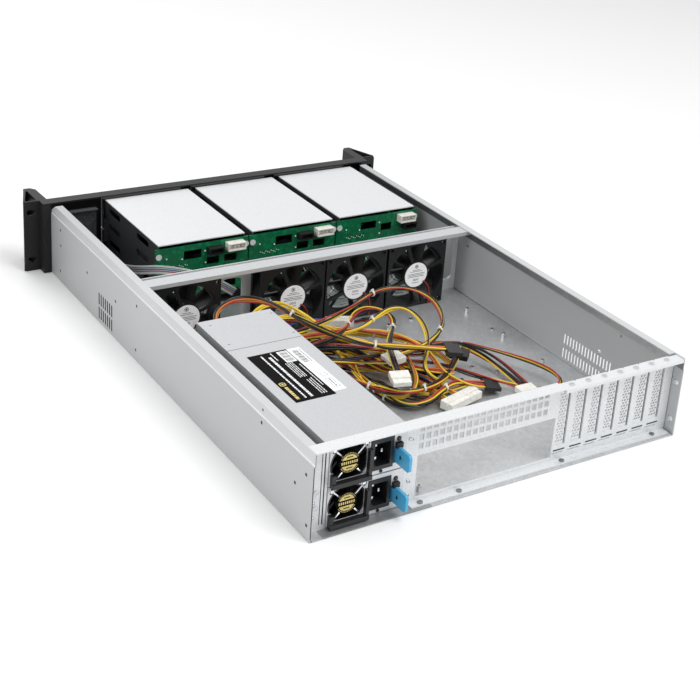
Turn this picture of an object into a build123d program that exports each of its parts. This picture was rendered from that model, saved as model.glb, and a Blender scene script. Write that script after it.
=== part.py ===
from build123d import *
import math
import os

# A 2U rack server chassis with its lid off. Millimetres, +X to the right seen from the
# front, front towards -Y, +Z up, origin under the middle of the whole object.

# Steel body
body_width = 426.0
body_length = 625.0
body_height = 88.0
sheet = 1.2
crease_drop = 12.0
crease_step = 0.8
top_flange = 8.8
flange_setback = 12.0
panel_setback = 13.0

# Front panel, ears and handles
panel_width = 482.6
panel_sheet = 2.0
rim_depth = 13.0
rim_overhang = 9.5
rack_hole_spacing = 465.1
ear_slot_length = 10.5
ear_slot_radius = 3.4
ear_slot_inset = 13.85
handle_reach = 41.0
handle_width = 12.0
handle_wall = 2.4

# Drive cages, lids, backplanes and trays
cage_count = 3
cage_gap = 10.0
cage_length = 154.0
cage_front_gap = 3.0
cage_control_room = 64.8
cage_wall_room = 17.8
cage_drop = 5.0
cage_slot_length = 34.0
cage_slot_radius = 3.8
cage_slot_places = [28.0, 110.0]
cage_slot_shares = [0.3, 0.8]
backplane_overhang = 4.25
backplane_low = 12.0
backplane_sheet = 1.6
backplane_drop = 3.0
board_cut_shares = [(0.3, 0.49), (0.55, 0.684), (0.74, 0.874)]
power_socket_width = 22.0
power_socket_height = 9.0
power_socket_depth = 10.0
power_pin_pitch = 5.08
data_socket_width = 18.0
data_socket_height = 8.0
data_socket_depth = 9.0
tray_rows = 2
tray_side_gap = 0.4
tray_gap = 0.8
tray_length = 146.0
bezel_depth = 12.0
bezel_proud = 2.0
rail_height = 14.0
rail_width = 0.9
bezel_hole_pitch = 6.2
lever_inset = 21.8
lever_height = 13.0
lever_depth = 5.0
pin_radius = 1.5
pin_fit = 0.05
pin_length = 2.0

# Crossbar and cooling wall
crossbar_start = 242.0
crossbar_width = 17.5
crossbar_lip = 4.4
fan_wall_start = 231.8
fan_clearance = 8.0
fan_depth = 25.0
fan_bore_margin = 2.0
fan_screw_inset = 4.25
fan_hub_radius = 17.0
fan_flange = 4.0
fan_floor_gap = 0.8
fan_blades = 7
first_fan_room = 52.8
other_fans = [30.0, -52.0, -135.0]
window_share = 0.53
window_ring_share = 0.09

# Redundant power supply
psu_wall_gap = 20.3
psu_width = 82.0
psu_start = 350.0
psu_drop = 4.0
psu_sheet = 1.0
psu_partition = 418.0
module_gap = 0.4
module_length = 188.0
module_proud = 1.0
module_fan_margin = 1.75
module_fan_depth = 28.0
module_fan_blades = 7
inlet_width = 23.5
inlet_height = 31.0
inlet_depth = 26.0
grip_depth = 7.0
latch_overhang = 10.0
latch_height = 17.0
latch_thickness = 2.8
latch_pin_inset = 20.0
latch_play = 1.9

# Rear panel openings
io_width = 158.75
io_height = 44.45
io_psu_gap = 12.5
io_low = 5.4
vent_columns = 20
vent_rows = 3
vent_pitch = 7.5
vent_hole = 5.2
vent_window_gap = 9.15
vent_top_gap = 10.6
slot_pitch = 20.32
slot_io_gap = 9.45
slot_width = 12.8
slot_low = 18.0
slot_shelf_drop = 4.4
cover_width = 18.4
cover_gap = 1.6
cover_sheet = 0.8
cover_hole = 2.8
cover_hole_pitch = 3.7
cover_wall_gap = 4.0
shelf_overhang = 12.2

# Vent slots in the side walls
left_vent_count = 7
left_vent_pitch = 6.0
left_vent_width = 3.0
left_vent_height = 14.0
left_vent_start = 147.0
right_vent_count = 16
right_vent_pitch = 5.1
right_vent_width = 2.6
right_vent_height = 12.0
right_vent_start = 443.0
vent_row_low = 4.5
vent_row_pitch = 17.0

# Fasteners
standoff_height = 6.5
standoff_radius = 2.6
standoff_bore = 1.4
screw_head_radius = 2.8
screw_head_height = 1.2
board_io_gap = 14.0
board_wall_gap = 27.8
board_first_y = 599.0
board_rows = [0.0, 154.94, 227.33, 299.72]
nut_places = [(-112.0, 288.0), (-185.0, 349.0), (-108.0, 417.0), (-127.0, 438.0)]
nut_radius = 3.0
nut_height = 1.6

# Front controls
power_radius = 4.0
reset_radius = 1.8
button_play = 0.25
button_proud = 1.0
button_travel = 1.5
control_wall_gap = 33.8
power_drop = 28.0
reset_drop = 42.0
bracket_drop = 10.0

overall_length = handle_reach + panel_sheet + rim_depth + body_length + latch_overhang
y_front = handle_reach + panel_sheet + rim_depth - overall_length / 2
y_rear = y_front + body_length
y_panel = y_rear - panel_setback
face_y = y_front - rim_depth - panel_sheet
inner_half = body_width / 2 - sheet
band_half = body_width / 2 - crease_step
crease_height = body_height - crease_drop
rim_width = body_width + 2 * rim_overhang
ear_slot_pitch = body_height - 2 * ear_slot_inset

cage_top = body_height - cage_drop
cage_right_edge = inner_half - cage_control_room
cage_room = inner_half + cage_right_edge - cage_wall_room
cage_width = (cage_room - (cage_count - 1) * cage_gap) / cage_count
cage_pitch = cage_width + cage_gap
backplane_width = cage_width + 2 * backplane_overhang
backplane_height = cage_top - backplane_drop - backplane_low

fan_size = body_height - fan_clearance
fan_bore = fan_size - 2 * fan_bore_margin
fan_screw_spacing = fan_size - 2 * fan_screw_inset
fan_centres = [inner_half - first_fan_room] + other_fans

psu_left = inner_half - psu_wall_gap
psu_right = psu_left - psu_width
psu_top = body_height - psu_drop
module_pitch = (psu_top - sheet) / 2
module_width = psu_width - 2 * psu_sheet - 2 * module_gap
module_height = module_pitch - psu_sheet - 0.9
module_fan_radius = module_height / 2 - module_fan_margin

io_right_edge = psu_right - io_psu_gap
vent_low = io_low + io_height + vent_window_gap
vent_rise = (body_height - vent_top_gap - vent_low) / (vent_rows - 1)
vent_tall = 0.7 * vent_rise
slot_first = io_right_edge - io_width - slot_io_gap
slot_room = slot_first + band_half - sheet - cover_width / 2 - cover_wall_gap
slot_count = int(slot_room / slot_pitch) + 1
slot_shelf = body_height - slot_shelf_drop
shelf_end = slot_first + shelf_overhang
board_first_x = io_right_edge - board_io_gap
board_columns = [0.0, 157.48, board_first_x + inner_half - board_wall_gap]
control_x = inner_half - control_wall_gap
power_height = body_height - power_drop
reset_height = body_height - reset_drop

# Wiring: points are X, distance behind the body's front edge, and height
trunk_diameter = 9.0
lead_diameter = 5.0
ribbon_width = 10.0
ribbon_sheet = 1.2
trunk_route = [(136, 350, 34), (136, 330, 34), (122, 309, 34), (96, 301, 33), (68, 309, 30),
               (43, 330, 25), (20, 356, 19), (-4, 382, 13), (-24, 412, 9), (-38, 444, 8),
               (-46, 474, 8)]
arch_route = [(164, 350, 73), (164, 334, 73), (152, 316, 76), (130, 304, 78), (107, 310, 78),
              (93, 329, 77), (84, 352, 73), (70, 376, 67), (50, 396, 60), (26, 410, 54),
              (0, 418, 49), (-28, 424, 45), (-56, 434, 42)]
loop_route = [(psu_right, 368, 60), (psu_right - 21.5, 368, 60), (58, 360, 61), (30, 350, 60),
              (2, 336, 60), (-24, 322, 60), (-48, 312, 61), (-72, 316, 62), (-90, 334, 61),
              (-96, 358, 56), (-88, 384, 48), (-70, 400, 40), (-44, 408, 34), (-18, 408, 31)]
far_route = [(psu_right, 366, 42), (psu_right - 21.5, 366, 42), (60, 370, 40), (30, 376, 36),
             (2, 382, 31), (-26, 386, 27), (-54, 384, 23), (-82, 380, 20), (-106, 388, 17),
             (-120, 410, 13), (-126, 436, 9), (-127, 462, 7), (-126, 484, 6)]
knot_route = [(psu_right, 386, 51), (psu_right - 22.5, 386, 51), (58, 382, 51), (32, 368, 50),
              (10, 348, 49), (-8, 330, 48), (-28, 322, 47), (-44, 334, 46), (-42, 356, 45),
              (-26, 376, 44), (-9, 397, 42), (2, 420, 39), (10, 446, 34)]
floor_route = [(psu_right, 364, 24), (psu_right - 19.5, 364, 24), (66, 360, 24), (44, 370, 22),
               (30, 390, 17), (26, 416, 10), (22, 444, 5.6), (9, 466, 5.4), (-12, 474, 10),
               (-32, 468, 16), (-52, 461, 17), (-70, 461, 12), (-86, 467, 10)]
sweep_route = [(psu_right, 398, 30), (psu_right - 19.5, 398, 30), (66, 406, 28), (48, 424, 24),
               (34, 444, 20), (14, 458, 18), (-12, 462, 18), (-38, 456, 19), (-60, 442, 21),
               (-78, 426, 24)]
ribbon_route = [(182, 6.6, 40), (182, 26, 40), (181, 56, 41), (179, 92, 43), (175, 126, 49),
                (168, 156, 58), (156, 178, 66), (138, 192, 66), (116, 200, 60), (94, 204, 49),
                (76, 206, 36)]


def block(x0, x1, y0, y1, z0, z1):
    """A box between two opposite corners."""
    size = Box(abs(x1 - x0), abs(y1 - y0), abs(z1 - z0))
    return Pos((x0 + x1) / 2, (y0 + y1) / 2, (z0 + z1) / 2) * size


def rod_x(x0, x1, y, z, radius):
    """A round rod or hole along X."""
    return Pos((x0 + x1) / 2, y, z) * Rot(0, 90, 0) * Cylinder(radius, abs(x1 - x0))


def rod_y(x, y0, y1, z, radius):
    """A round rod or hole along Y."""
    return Pos(x, (y0 + y1) / 2, z) * Rot(90, 0, 0) * Cylinder(radius, abs(y1 - y0))


def rod_z(x, y, z0, z1, radius):
    """A round rod or hole along Z."""
    return Pos(x, y, (z0 + z1) / 2) * Cylinder(radius, abs(z1 - z0))


def slot_y(x, y0, y1, z, length, radius):
    """A rounded slot, long in X, cut along Y."""
    profile = Plane.XZ * Pos(x, z) * SlotOverall(length, 2 * radius)
    return Pos(0, y1, 0) * extrude(profile, abs(y1 - y0))


def slot_x(x0, x1, y, z, length, radius):
    """A rounded slot, long in Y, cut along X."""
    profile = Plane.YZ * Pos(y, z) * SlotOverall(length, 2 * radius)
    return Pos(x0, 0, 0) * extrude(profile, abs(x1 - x0))


def save(shape, name):
    """Write one named piece."""
    export_step(shape, "parts/" + name + ".step")


def side_wall(side):
    """One side wall: lower wall, stepped upper band and top flange."""
    lower = block(side * inner_half, side * body_width / 2, y_front, y_rear, 0, crease_height)
    band = block(side * (band_half - sheet), side * band_half, y_front, y_rear,
                 crease_height - sheet, body_height)
    flange = block(side * (band_half - top_flange), side * band_half,
                   y_front + flange_setback, y_panel - sheet, body_height - sheet, body_height)
    nose = Plane.YZ * make_face(Polyline((y_front, crease_height + 4), (y_front, body_height),
                                         (y_front + flange_setback, body_height),
                                         (y_front, crease_height + 4)))
    nose_cut = Pos(side * band_half - 3, 0, 0) * extrude(nose, 6)
    return lower + band + flange - nose_cut


def side_holes(side):
    """Rivet and rail holes of one wall, as distances behind the front edge and heights."""
    places = [(30, 65), (31, 46), (28, 13), (113, 45.5), (195, 45), (252, 64), (250, 12),
              (531, 70), (595, 44), (613, 62), (618, 14)]
    return [rod_x(side * (inner_half - 3), side * (body_width / 2 + 1), y_front + y, z, 1.7)
            for y, z in places]


def vent_slots(side, count, pitch, width, height, start):
    """Two rows of upright slots in one wall."""
    cuts = []
    for row in range(2):
        low = vent_row_low + row * vent_row_pitch
        for i in range(count):
            y = y_front + start + i * pitch
            cuts.append(block(side * (inner_half - 1), side * (body_width / 2 + 1),
                              y, y + width, low, low + height))
    return cuts


def make_chassis_tray():
    """The folded steel floor and its two side walls."""
    floor = block(-body_width / 2, body_width / 2, y_front, y_rear, 0, sheet)
    tray = floor + side_wall(1) + side_wall(-1)
    cuts = side_holes(1) + side_holes(-1)
    cuts += vent_slots(1, left_vent_count, left_vent_pitch, left_vent_width,
                       left_vent_height, left_vent_start)
    cuts += vent_slots(-1, right_vent_count, right_vent_pitch, right_vent_width,
                       right_vent_height, right_vent_start)
    return tray - cuts


def slot_centres():
    """The X places of the expansion slots, from the middle of the chassis outwards."""
    return [slot_first - i * slot_pitch for i in range(slot_count)]


def make_rear_panel():
    """The rear wall with its folded foot, top flange, card shelf and all its openings."""
    low = sheet
    half = band_half - sheet
    panel = block(-half, half, y_panel - sheet, y_panel, low, body_height - sheet)
    foot = block(-half + 2, psu_right - 4, y_panel - sheet, y_rear - 3 * sheet, low, low + sheet)
    sides = [block(side * (half - sheet), side * half, y_panel - 12, y_panel,
                   low + 3, crease_height - 4) for side in (-1, 1)]
    top = block(shelf_end, half, y_panel - sheet, y_rear, body_height - sheet, body_height)
    shelf = block(-half, shelf_end, y_panel - sheet, y_rear - sheet - 0.2,
                  slot_shelf, slot_shelf + sheet)
    above = block(-half - 1, shelf_end, y_panel - 2 * sheet, y_panel + 1,
                  slot_shelf + sheet, body_height + 1)
    bay = block(psu_right + psu_sheet, psu_left - psu_sheet, y_panel - 2 * sheet, y_panel + 1,
                sheet - 1, psu_top - psu_sheet)
    window = block(io_right_edge - io_width, io_right_edge, y_panel - 2 * sheet, y_panel + 1,
                   io_low, io_low + io_height)
    cuts = [above, bay, window]
    for x in slot_centres():
        cuts.append(block(x - slot_width / 2, x + slot_width / 2, y_panel - 2 * sheet,
                          y_panel + 1, slot_low, slot_shelf - 2.0))
        cuts.append(slot_y(x + 2, y_panel - 2 * sheet, y_panel + 1, 9.5, 15.0, 0.7))
    for row in range(vent_rows):
        for column in range(vent_columns):
            x = io_right_edge - 2.5 - column * vent_pitch
            z = vent_low + row * vent_rise
            cuts.append(block(x - vent_hole / 2, x + vent_hole / 2, y_panel - 2 * sheet,
                              y_panel + 1, z - vent_tall / 2, z + vent_tall / 2))
    for z in (68.0, 24.0, 9.5):
        cuts.append(rod_y(psu_right - 5.0, y_panel - 3, y_panel + 1, z, 1.8))
    return panel + foot + top + shelf + sides - cuts


def make_slot_covers():
    """Perforated blanking covers, each bent over the card shelf at its top."""
    covers = []
    row_pitch = cover_hole_pitch * math.sin(math.radians(60))
    for x in slot_centres():
        front = y_panel - sheet - cover_sheet
        plate = block(x - slot_width / 2 + cover_gap, x + cover_width / 2, front,
                      front + cover_sheet, sheet + 3, slot_shelf + sheet)
        tab = block(x - cover_width / 2, x + cover_width / 2, front, y_rear - sheet - 0.2,
                    slot_shelf + sheet, slot_shelf + sheet + cover_sheet)
        holes = []
        rows = int((slot_shelf - slot_low - 8) / row_pitch)
        for row in range(rows):
            z = slot_low + 4 + row * row_pitch
            steps = (-0.5, 0.5) if row % 2 else (-1, 0, 1)
            for step in steps:
                hole_x = x + cover_gap / 2 + step * cover_hole_pitch
                holes.append(rod_y(hole_x, front - 1, front + 2, z, cover_hole / 2))
        covers.append(plate + tab - holes)
    return Compound(covers)


def make_retainer_bar():
    """The angle that clamps the covers' tabs to the card shelf."""
    low = slot_shelf + sheet + cover_sheet
    top = block(-band_half + sheet, shelf_end - 0.5, y_panel + 1, y_rear, low, low + sheet)
    lip = block(-band_half + sheet, shelf_end - 0.5, y_rear - sheet, y_rear, low - 2.6, low)
    return top + lip


def cage_right(index):
    """The +X edge of a drive cage."""
    return cage_right_edge - index * cage_pitch


cage_start = y_front + cage_front_gap
row_height = (cage_top - 2 * sheet - sheet) / tray_rows


def row_floor(row):
    """The height of the sheet that a tray of this row lies on."""
    return 2 * sheet + row * (row_height + sheet * (tray_rows - 1) / tray_rows)


def make_cage(index):
    """One black drive cage: floor, sides with long slots, a shelf and fixing tabs."""
    x1 = cage_right(index)
    x0 = x1 - cage_width
    y1 = cage_start + cage_length
    shape = block(x0, x1, cage_start, y1, sheet, cage_top)
    shape -= block(x0 + sheet, x1 - sheet, cage_start - 1, y1 + 1, 2 * sheet, cage_top + 1)
    shelf_z = row_floor(1)
    shape += block(x0, x1, cage_start, y1, shelf_z - sheet, shelf_z)
    cuts = []
    for row in range(tray_rows):
        for y in cage_slot_places:
            for share in cage_slot_shares:
                middle = row_floor(row) + row_height * share
                cuts.append(slot_x(x0 - 1, x1 + 1, cage_start + y, middle, cage_slot_length,
                                   cage_slot_radius))
    cuts.append(block(x0 + 14, x1 - 14, cage_start + 30, y1 - 16, shelf_z - 2 * sheet,
                      shelf_z + 1))
    shape -= cuts
    for edge, way in ((x0, -1), (x1, 1)):
        tab = block(edge, edge + way * 4.5, cage_start + 6, cage_start + 6 + sheet, 34, 62)
        shape += tab - rod_y(edge + way * 2.4, cage_start, cage_start + 12, 56, 1.2)
    return shape


def make_cage_lids():
    """The three bright lids that close the cages."""
    lids = []
    for index in range(cage_count):
        x1 = cage_right(index)
        lid = block(x1 - cage_width, x1, cage_start, cage_start + cage_length,
                    cage_top, cage_top + sheet)
        lids.append(lid)
    return Compound(lids)


backplane_y = cage_start + cage_length
backplane_top = cage_top - backplane_drop


def backplane_left(index):
    """The +X edge of a backplane, which stands a little past its cage."""
    return cage_right(index) + (backplane_width - cage_width) / 2


def board_cut(edge, column, drop, height):
    """An air opening in a backplane, as shares of its width and measured from its top."""
    start, end = board_cut_shares[column]
    return block(edge - end * backplane_width, edge - start * backplane_width, backplane_y - 1,
                 backplane_y + backplane_sheet + 1, backplane_top - drop - height,
                 backplane_top - drop)


def make_backplane(index):
    """One green circuit board behind a cage, with air openings and screws' holes."""
    edge = backplane_left(index)
    board = block(edge - backplane_width, edge, backplane_y, backplane_y + backplane_sheet,
                  backplane_top - backplane_height, backplane_top)
    low_cut = backplane_height - 18.0
    if index < cage_count - 1:
        cuts = [board_cut(edge, 0, 6.5, 11.0), board_cut(edge, 1, 18.5, 9.0),
                board_cut(edge, 2, 18.5, 9.0)]
    else:
        cuts = [board_cut(edge, 0, 6.5, 10.0), board_cut(edge, 1, 12.0, 9.5)]
    cuts += [board_cut(edge, 0, low_cut - 10.0, 11.0), board_cut(edge, 1, low_cut, 9.0),
             board_cut(edge, 2, low_cut, 9.0)]
    for x in (3.6, backplane_width - 3.6):
        for drop in (8.5, backplane_height - 8.5):
            cuts.append(rod_y(edge - x, backplane_y - 1, backplane_y + backplane_sheet + 1,
                              backplane_top - drop, 1.6))
    return board - cuts


def socket(x0, x1, depth, drop, height, wall):
    """An open-backed plug socket on a backplane's rear face."""
    y0 = backplane_y + backplane_sheet
    high = backplane_top - drop
    shell = block(x0, x1, y0, y0 + depth, high - height, high)
    return shell - block(x0 + wall, x1 - wall, y0 + 2, y0 + depth + 1,
                         high - height + wall, high - wall)


def socket_places(index):
    """A backplane's power socket start, and its data socket's start and drop."""
    start = backplane_width - power_socket_width - 7.5
    if index < cage_count - 1:
        return start, start - data_socket_width - 5.0, 5.0
    return start + 0.5, start + 7.0, power_socket_height + 4.5


def make_power_sockets():
    """The white four-pin power sockets, one on each backplane."""
    shells = []
    first_pin = (power_socket_width - 3 * power_pin_pitch) / 2
    for index in range(cage_count):
        edge = backplane_left(index)
        start = socket_places(index)[0]
        shell = socket(edge - start - power_socket_width, edge - start, power_socket_depth,
                       2.5, power_socket_height, 1.2)
        pins = [rod_y(edge - start - first_pin - i * power_pin_pitch,
                      backplane_y + backplane_sheet,
                      backplane_y + backplane_sheet + power_socket_depth - 2,
                      backplane_top - 2.5 - power_socket_height / 2, 1.0) for i in range(4)]
        shells.append(shell + pins)
    return Compound(shells)


def make_data_sockets():
    """The black data sockets beside or below the power sockets."""
    shells = []
    for index in range(cage_count):
        edge = backplane_left(index)
        start, drop = socket_places(index)[1:]
        shells.append(socket(edge - start - data_socket_width, edge - start, data_socket_depth,
                             drop, data_socket_height, 1.5))
    return Compound(shells)


tray_width = cage_width - 2 * sheet - 2 * tray_side_gap
tray_height = row_height - sheet / tray_rows - tray_gap
lever_length = tray_width - lever_inset


def tray_origin(index):
    """The low corner of a tray's front: its -X edge and its floor height."""
    column = index // tray_rows
    row = index % tray_rows
    x0 = cage_right(column) - sheet - tray_side_gap - tray_width
    return x0, row_floor(row)


def lever_place(index):
    """The hinge's X place, the lever's middle height and its front plane."""
    x0, z0 = tray_origin(index)
    return x0 + tray_width - 7.0, z0 + tray_height * 0.34, face_y - bezel_proud


def make_tray(index):
    """A hot-swap drive tray: a perforated bezel, a floor and two rails."""
    x0, z0 = tray_origin(index)
    x1 = x0 + tray_width
    hinge_x, lever_z, front = lever_place(index)
    back = front + bezel_depth
    bezel = block(x0, x1, front, back, z0, z0 + tray_height)
    room = block(x0 + 4, x1 - 3, front - 1, front + lever_depth + 1.2,
                 lever_z - lever_height / 2 - 0.4, lever_z + lever_height / 2 + 0.4)
    rear_hollow = block(x0 + 2.5, x1 - 2.5, back - 4, back + 1, z0 + 2.5, z0 + tray_height - 2.5)
    holes = []
    columns = int((tray_width - 20) / bezel_hole_pitch) + 1
    for row in range(3):
        for column in range(columns):
            x = x0 + 10 + (column + row % 2 / 2) * bezel_hole_pitch
            z = z0 + tray_height - 5.0 - row * 4.2
            holes.append(rod_y(x, front - 1, back + 1, z, 1.6))
    pin_low = lever_z - lever_height / 2 - pin_length - 0.4
    pin_high = lever_z + lever_height / 2 + pin_length + 0.4
    bore = rod_z(hinge_x, front + lever_depth / 2 + 0.6, pin_low, pin_high, pin_radius + pin_fit)
    button = block(x0 + 5, x0 + 11, front + 0.4, front + lever_depth + 1.2,
                   lever_z - 4, lever_z + 4)
    floor = block(x0, x1, back, front + tray_length, z0, z0 + sheet)
    window = block(x0 + 16, x1 - 16, back + 22, front + tray_length - 22, z0 - 1, z0 + 3)
    rail_a = block(x0, x0 + rail_width, back, front + tray_length, z0, z0 + rail_height)
    rail_b = block(x1 - rail_width, x1, back, front + tray_length, z0, z0 + rail_height)
    drive_holes = []
    for y in (30.0, 72.0, 131.0):
        drive_holes.append(rod_x(x0 - 1, x1 + 1, front + y, z0 + 8.0, 1.6))
    front_part = bezel - room - rear_hollow - holes - bore + button
    rear_part = floor + rail_a + rail_b - window - drive_holes
    return front_part + rear_part


def make_lever(index):
    """The bar that swings out of a tray's bezel to draw the tray forward."""
    hinge_x, lever_z, front = lever_place(index)
    axis_y = front + lever_depth / 2 + 0.6
    low = lever_z - lever_height / 2
    high = lever_z + lever_height / 2
    bar = block(hinge_x - lever_length, hinge_x, front, front + lever_depth, low, high)
    bar = fillet(bar.edges().filter_by(Axis.Z).group_by(Axis.X)[0], 1.5)
    finger = block(hinge_x - lever_length + 6, hinge_x - lever_length + 26, front - 1,
                   front + 2.2, low + 3, high - 3)
    knuckle = rod_z(hinge_x, axis_y, low, high, 3.0)
    pin = rod_z(hinge_x, axis_y, low - pin_length, high + pin_length, pin_radius)
    return bar - finger + knuckle + pin


def ear_slot_height(row):
    """The height of a rack slot: the pair is centred on the panel."""
    return body_height / 2 + (row - 0.5) * ear_slot_pitch


def make_front_panel():
    """The black front: a face with ears, a rim that meets the body and a row of windows."""
    half = panel_width / 2
    rim = rim_width / 2
    face = block(-half, half, face_y, face_y + panel_sheet, 0, body_height)
    face = fillet(face.edges().filter_by(Axis.Y), 3.0)
    box = block(-rim, rim, face_y + panel_sheet, y_front, 0, body_height)
    hollow = block(-rim + panel_sheet, rim - panel_sheet, face_y + panel_sheet, y_front + 1,
                   panel_sheet, body_height - panel_sheet)
    strips = []
    for side in (-1, 1):
        strips.append(block(side * (body_width / 2 + 0.2), side * (rim - panel_sheet),
                            y_front - panel_sheet, y_front, panel_sheet,
                            body_height - panel_sheet))
    cuts = []
    for index in range(cage_count):
        x1 = cage_right(index) - sheet + 0.2
        cuts.append(block(x1 - cage_width + 2 * sheet - 0.4, x1, face_y - 1,
                          face_y + panel_sheet + 1, 2 * sheet - 0.3, cage_top))
    for side in (-1, 1):
        for row in range(2):
            cuts.append(slot_y(side * rack_hole_spacing / 2, face_y - 1,
                               face_y + panel_sheet + 1, ear_slot_height(row),
                               ear_slot_length, ear_slot_radius))
    cuts.append(rod_y(control_x, face_y - 1, y_front, power_height, power_radius + button_play))
    cuts.append(rod_y(control_x, face_y - 1, y_front, reset_height, reset_radius + button_play))
    for i in range(4):
        cuts.append(rod_y(control_x + 14, face_y - 1, face_y + 3, power_height + 8 - i * 8, 1.3))
    for i in range(2):
        cuts.append(block(control_x - 7, control_x + 7, face_y - 1, face_y + 3,
                          16 + i * 11, 22 + i * 11))
    return face + (box - hollow) + strips - cuts


def make_handle(side):
    """A rack handle: an upright bow on the ear, open above and below."""
    inner = body_width / 2
    outer = panel_width / 2
    tip = face_y - handle_reach
    mirror_x = side
    outline = Polyline((mirror_x * inner, face_y), (mirror_x * (inner + 1.0), tip + 6),
                       (mirror_x * (inner + 6.0), tip),
                       (mirror_x * (inner + handle_width + 2), tip),
                       (mirror_x * (outer - 11), tip + 10), (mirror_x * outer, face_y),
                       (mirror_x * inner, face_y))
    bow = extrude(make_face(outline), body_height)
    hollow_line = Polyline((mirror_x * (inner + handle_width), face_y + 1),
                           (mirror_x * (inner + handle_width), tip + 7),
                           (mirror_x * (outer - 11 - handle_wall), tip + 11),
                           (mirror_x * (outer - handle_wall), face_y - 1),
                           (mirror_x * (outer - handle_wall), face_y + 1),
                           (mirror_x * (inner + handle_width), face_y + 1))
    hollow = Pos(0, 0, -1) * extrude(make_face(hollow_line), body_height + 2)
    core = block(mirror_x * (inner + handle_wall), mirror_x * (inner + handle_width - handle_wall),
                 tip + 9, face_y + 1, -1, body_height - handle_wall)
    reach = []
    for row in range(2):
        reach.append(rod_y(mirror_x * rack_hole_spacing / 2, tip - 1, face_y - 3,
                           ear_slot_height(row), 5.5))
    return bow - hollow - core - reach


crossbar_y = y_front + crossbar_start
fan_wall_y = y_front + fan_wall_start


def make_crossbar():
    """The channel across the chassis that stiffens it and holds the cooling wall."""
    half = band_half - sheet - 0.2
    high = body_height - sheet
    top = block(-half, half, crossbar_y, crossbar_y + crossbar_width, high - sheet, high)
    front = block(-half, half, crossbar_y, crossbar_y + sheet, high - crossbar_lip, high)
    back = block(-half, half, crossbar_y + crossbar_width - sheet, crossbar_y + crossbar_width,
                 high - crossbar_lip, high)
    return top + front + back


def ring_slot(x, width, height, grow, y0, y1):
    """A rounded upright window in the cooling wall, grown outwards by a margin."""
    middle = body_height / 2 - 2
    corner = min(7, 0.4 * width) + grow
    profile = Plane.XZ * Pos(x, middle) * RectangleRounded(width + 2 * grow, height + 2 * grow,
                                                           corner)
    return Pos(0, y1, 0) * extrude(profile, abs(y1 - y0))


fan_middle_z = sheet + fan_floor_gap + fan_size / 2
gap_window_x = (fan_centres[0] + fan_centres[1]) / 2
gap_room = fan_centres[0] - fan_centres[1] - fan_size
end_window_x = (fan_centres[3] - fan_size / 2 - inner_half) / 2 - 1.5
end_room = fan_centres[3] - fan_size / 2 + inner_half


def make_fan_bracket():
    """The galvanised wall in front of the fans, with ringed windows and a foot."""
    half = band_half - sheet - 0.2
    y1 = fan_wall_y + sheet
    wall = block(-half, half, fan_wall_y, y1, sheet, body_height - 3 * sheet)
    foot = block(-half, half, fan_wall_y - 12, y1, sheet, 2 * sheet)
    shape = wall + foot
    windows = [(gap_window_x, gap_room), (end_window_x, end_room)]
    height = body_height - 36.0
    for x, room in windows:
        shape += ring_slot(x, window_share * room, height, window_ring_share * room, y1, y1 + 1.6)
    for x, room in windows:
        shape -= ring_slot(x, window_share * room, height, 0.0, fan_wall_y - 1, y1 + 3)
    cuts = []
    for x in fan_centres:
        cuts.append(rod_y(x, fan_wall_y - 1, y1 + 1, fan_middle_z, fan_bore / 2 - 1))
    return shape - cuts


def make_fan_frame(index):
    """A fan's square frame: two flanges, a ring, struts and a bearing post."""
    x = fan_centres[index]
    z = fan_middle_z
    y0 = fan_wall_y + sheet
    y1 = y0 + fan_depth
    half = fan_size / 2
    plate_a = block(x - half, x + half, y0, y0 + fan_flange, z - half, z + half)
    plate_b = block(x - half, x + half, y1 - fan_flange, y1, z - half, z + half)
    ring = rod_y(x, y0, y1, z, half - 0.4)
    bore = rod_y(x, y0 - 1, y1 + 1, z, fan_bore / 2)
    holes = []
    for sx in (-1, 1):
        for sz in (-1, 1):
            holes.append(rod_y(x + sx * fan_screw_spacing / 2, y0 - 1, y1 + 1,
                               z + sz * fan_screw_spacing / 2, 2.2))
    frame = plate_a + plate_b + ring - bore - holes
    base = rod_y(x, y1 - 4, y1, z, fan_hub_radius)
    post = rod_y(x, y0 + 8, y1 - 2, z, 5.0)
    struts = []
    for turn in (20, 110, 200, 290):
        bar = Box(fan_bore / 2 - fan_hub_radius + 3, 3.0, 4.0)
        reach = (fan_bore / 2 + fan_hub_radius) / 2
        struts.append(Pos(x, y1 - 1.5, z) * Rot(0, turn, 0) * Pos(reach, 0, 0) * bar)
    bearing = rod_y(x, y0 + 5, y1 - 4, z, pin_radius + pin_fit)
    return frame + base + post + struts - bearing


def blade_shape(inner, outer, depth, camber, thickness):
    """One cambered fan blade that reaches out along +X."""
    shell = Cylinder(camber + thickness, outer) - Cylinder(camber, outer)
    piece = shell & (Pos(camber, 0, 0) * Box(camber, depth, outer + 2))
    lying = Rot(0, 90, 0) * Pos(-camber - thickness / 2, 0, outer / 2) * piece
    tilted = Rot(38, 0, 0) * lying
    ring = Rot(90, 0, 0) * (Cylinder(outer, 2 * depth) - Cylinder(inner, 2 * depth))
    return tilted & ring


def make_rotor(x, z, y0, depth, hub, outer, blades, shaft):
    """A fan's impeller: a cup hub, its blades and the shaft in the bearing."""
    cup = rod_y(x, y0, y0 + depth, z, hub) - rod_y(x, y0 + 2, y0 + depth + 1, z, hub - 1.5)
    pin = rod_y(x, y0 + 1, y0 + shaft, z, pin_radius)
    blade = blade_shape(hub - 0.8, outer, depth * 1.1, 22.0, 1.2)
    middle = Pos(x, y0 + depth / 2, z)
    fan = [middle * Rot(0, i * 360 / blades, 0) * blade for i in range(blades)]
    slab = block(x - outer - 1, x + outer + 1, y0, y0 + depth, z - outer - 1, z + outer + 1)
    return cup + pin + [one & slab for one in fan]


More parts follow.
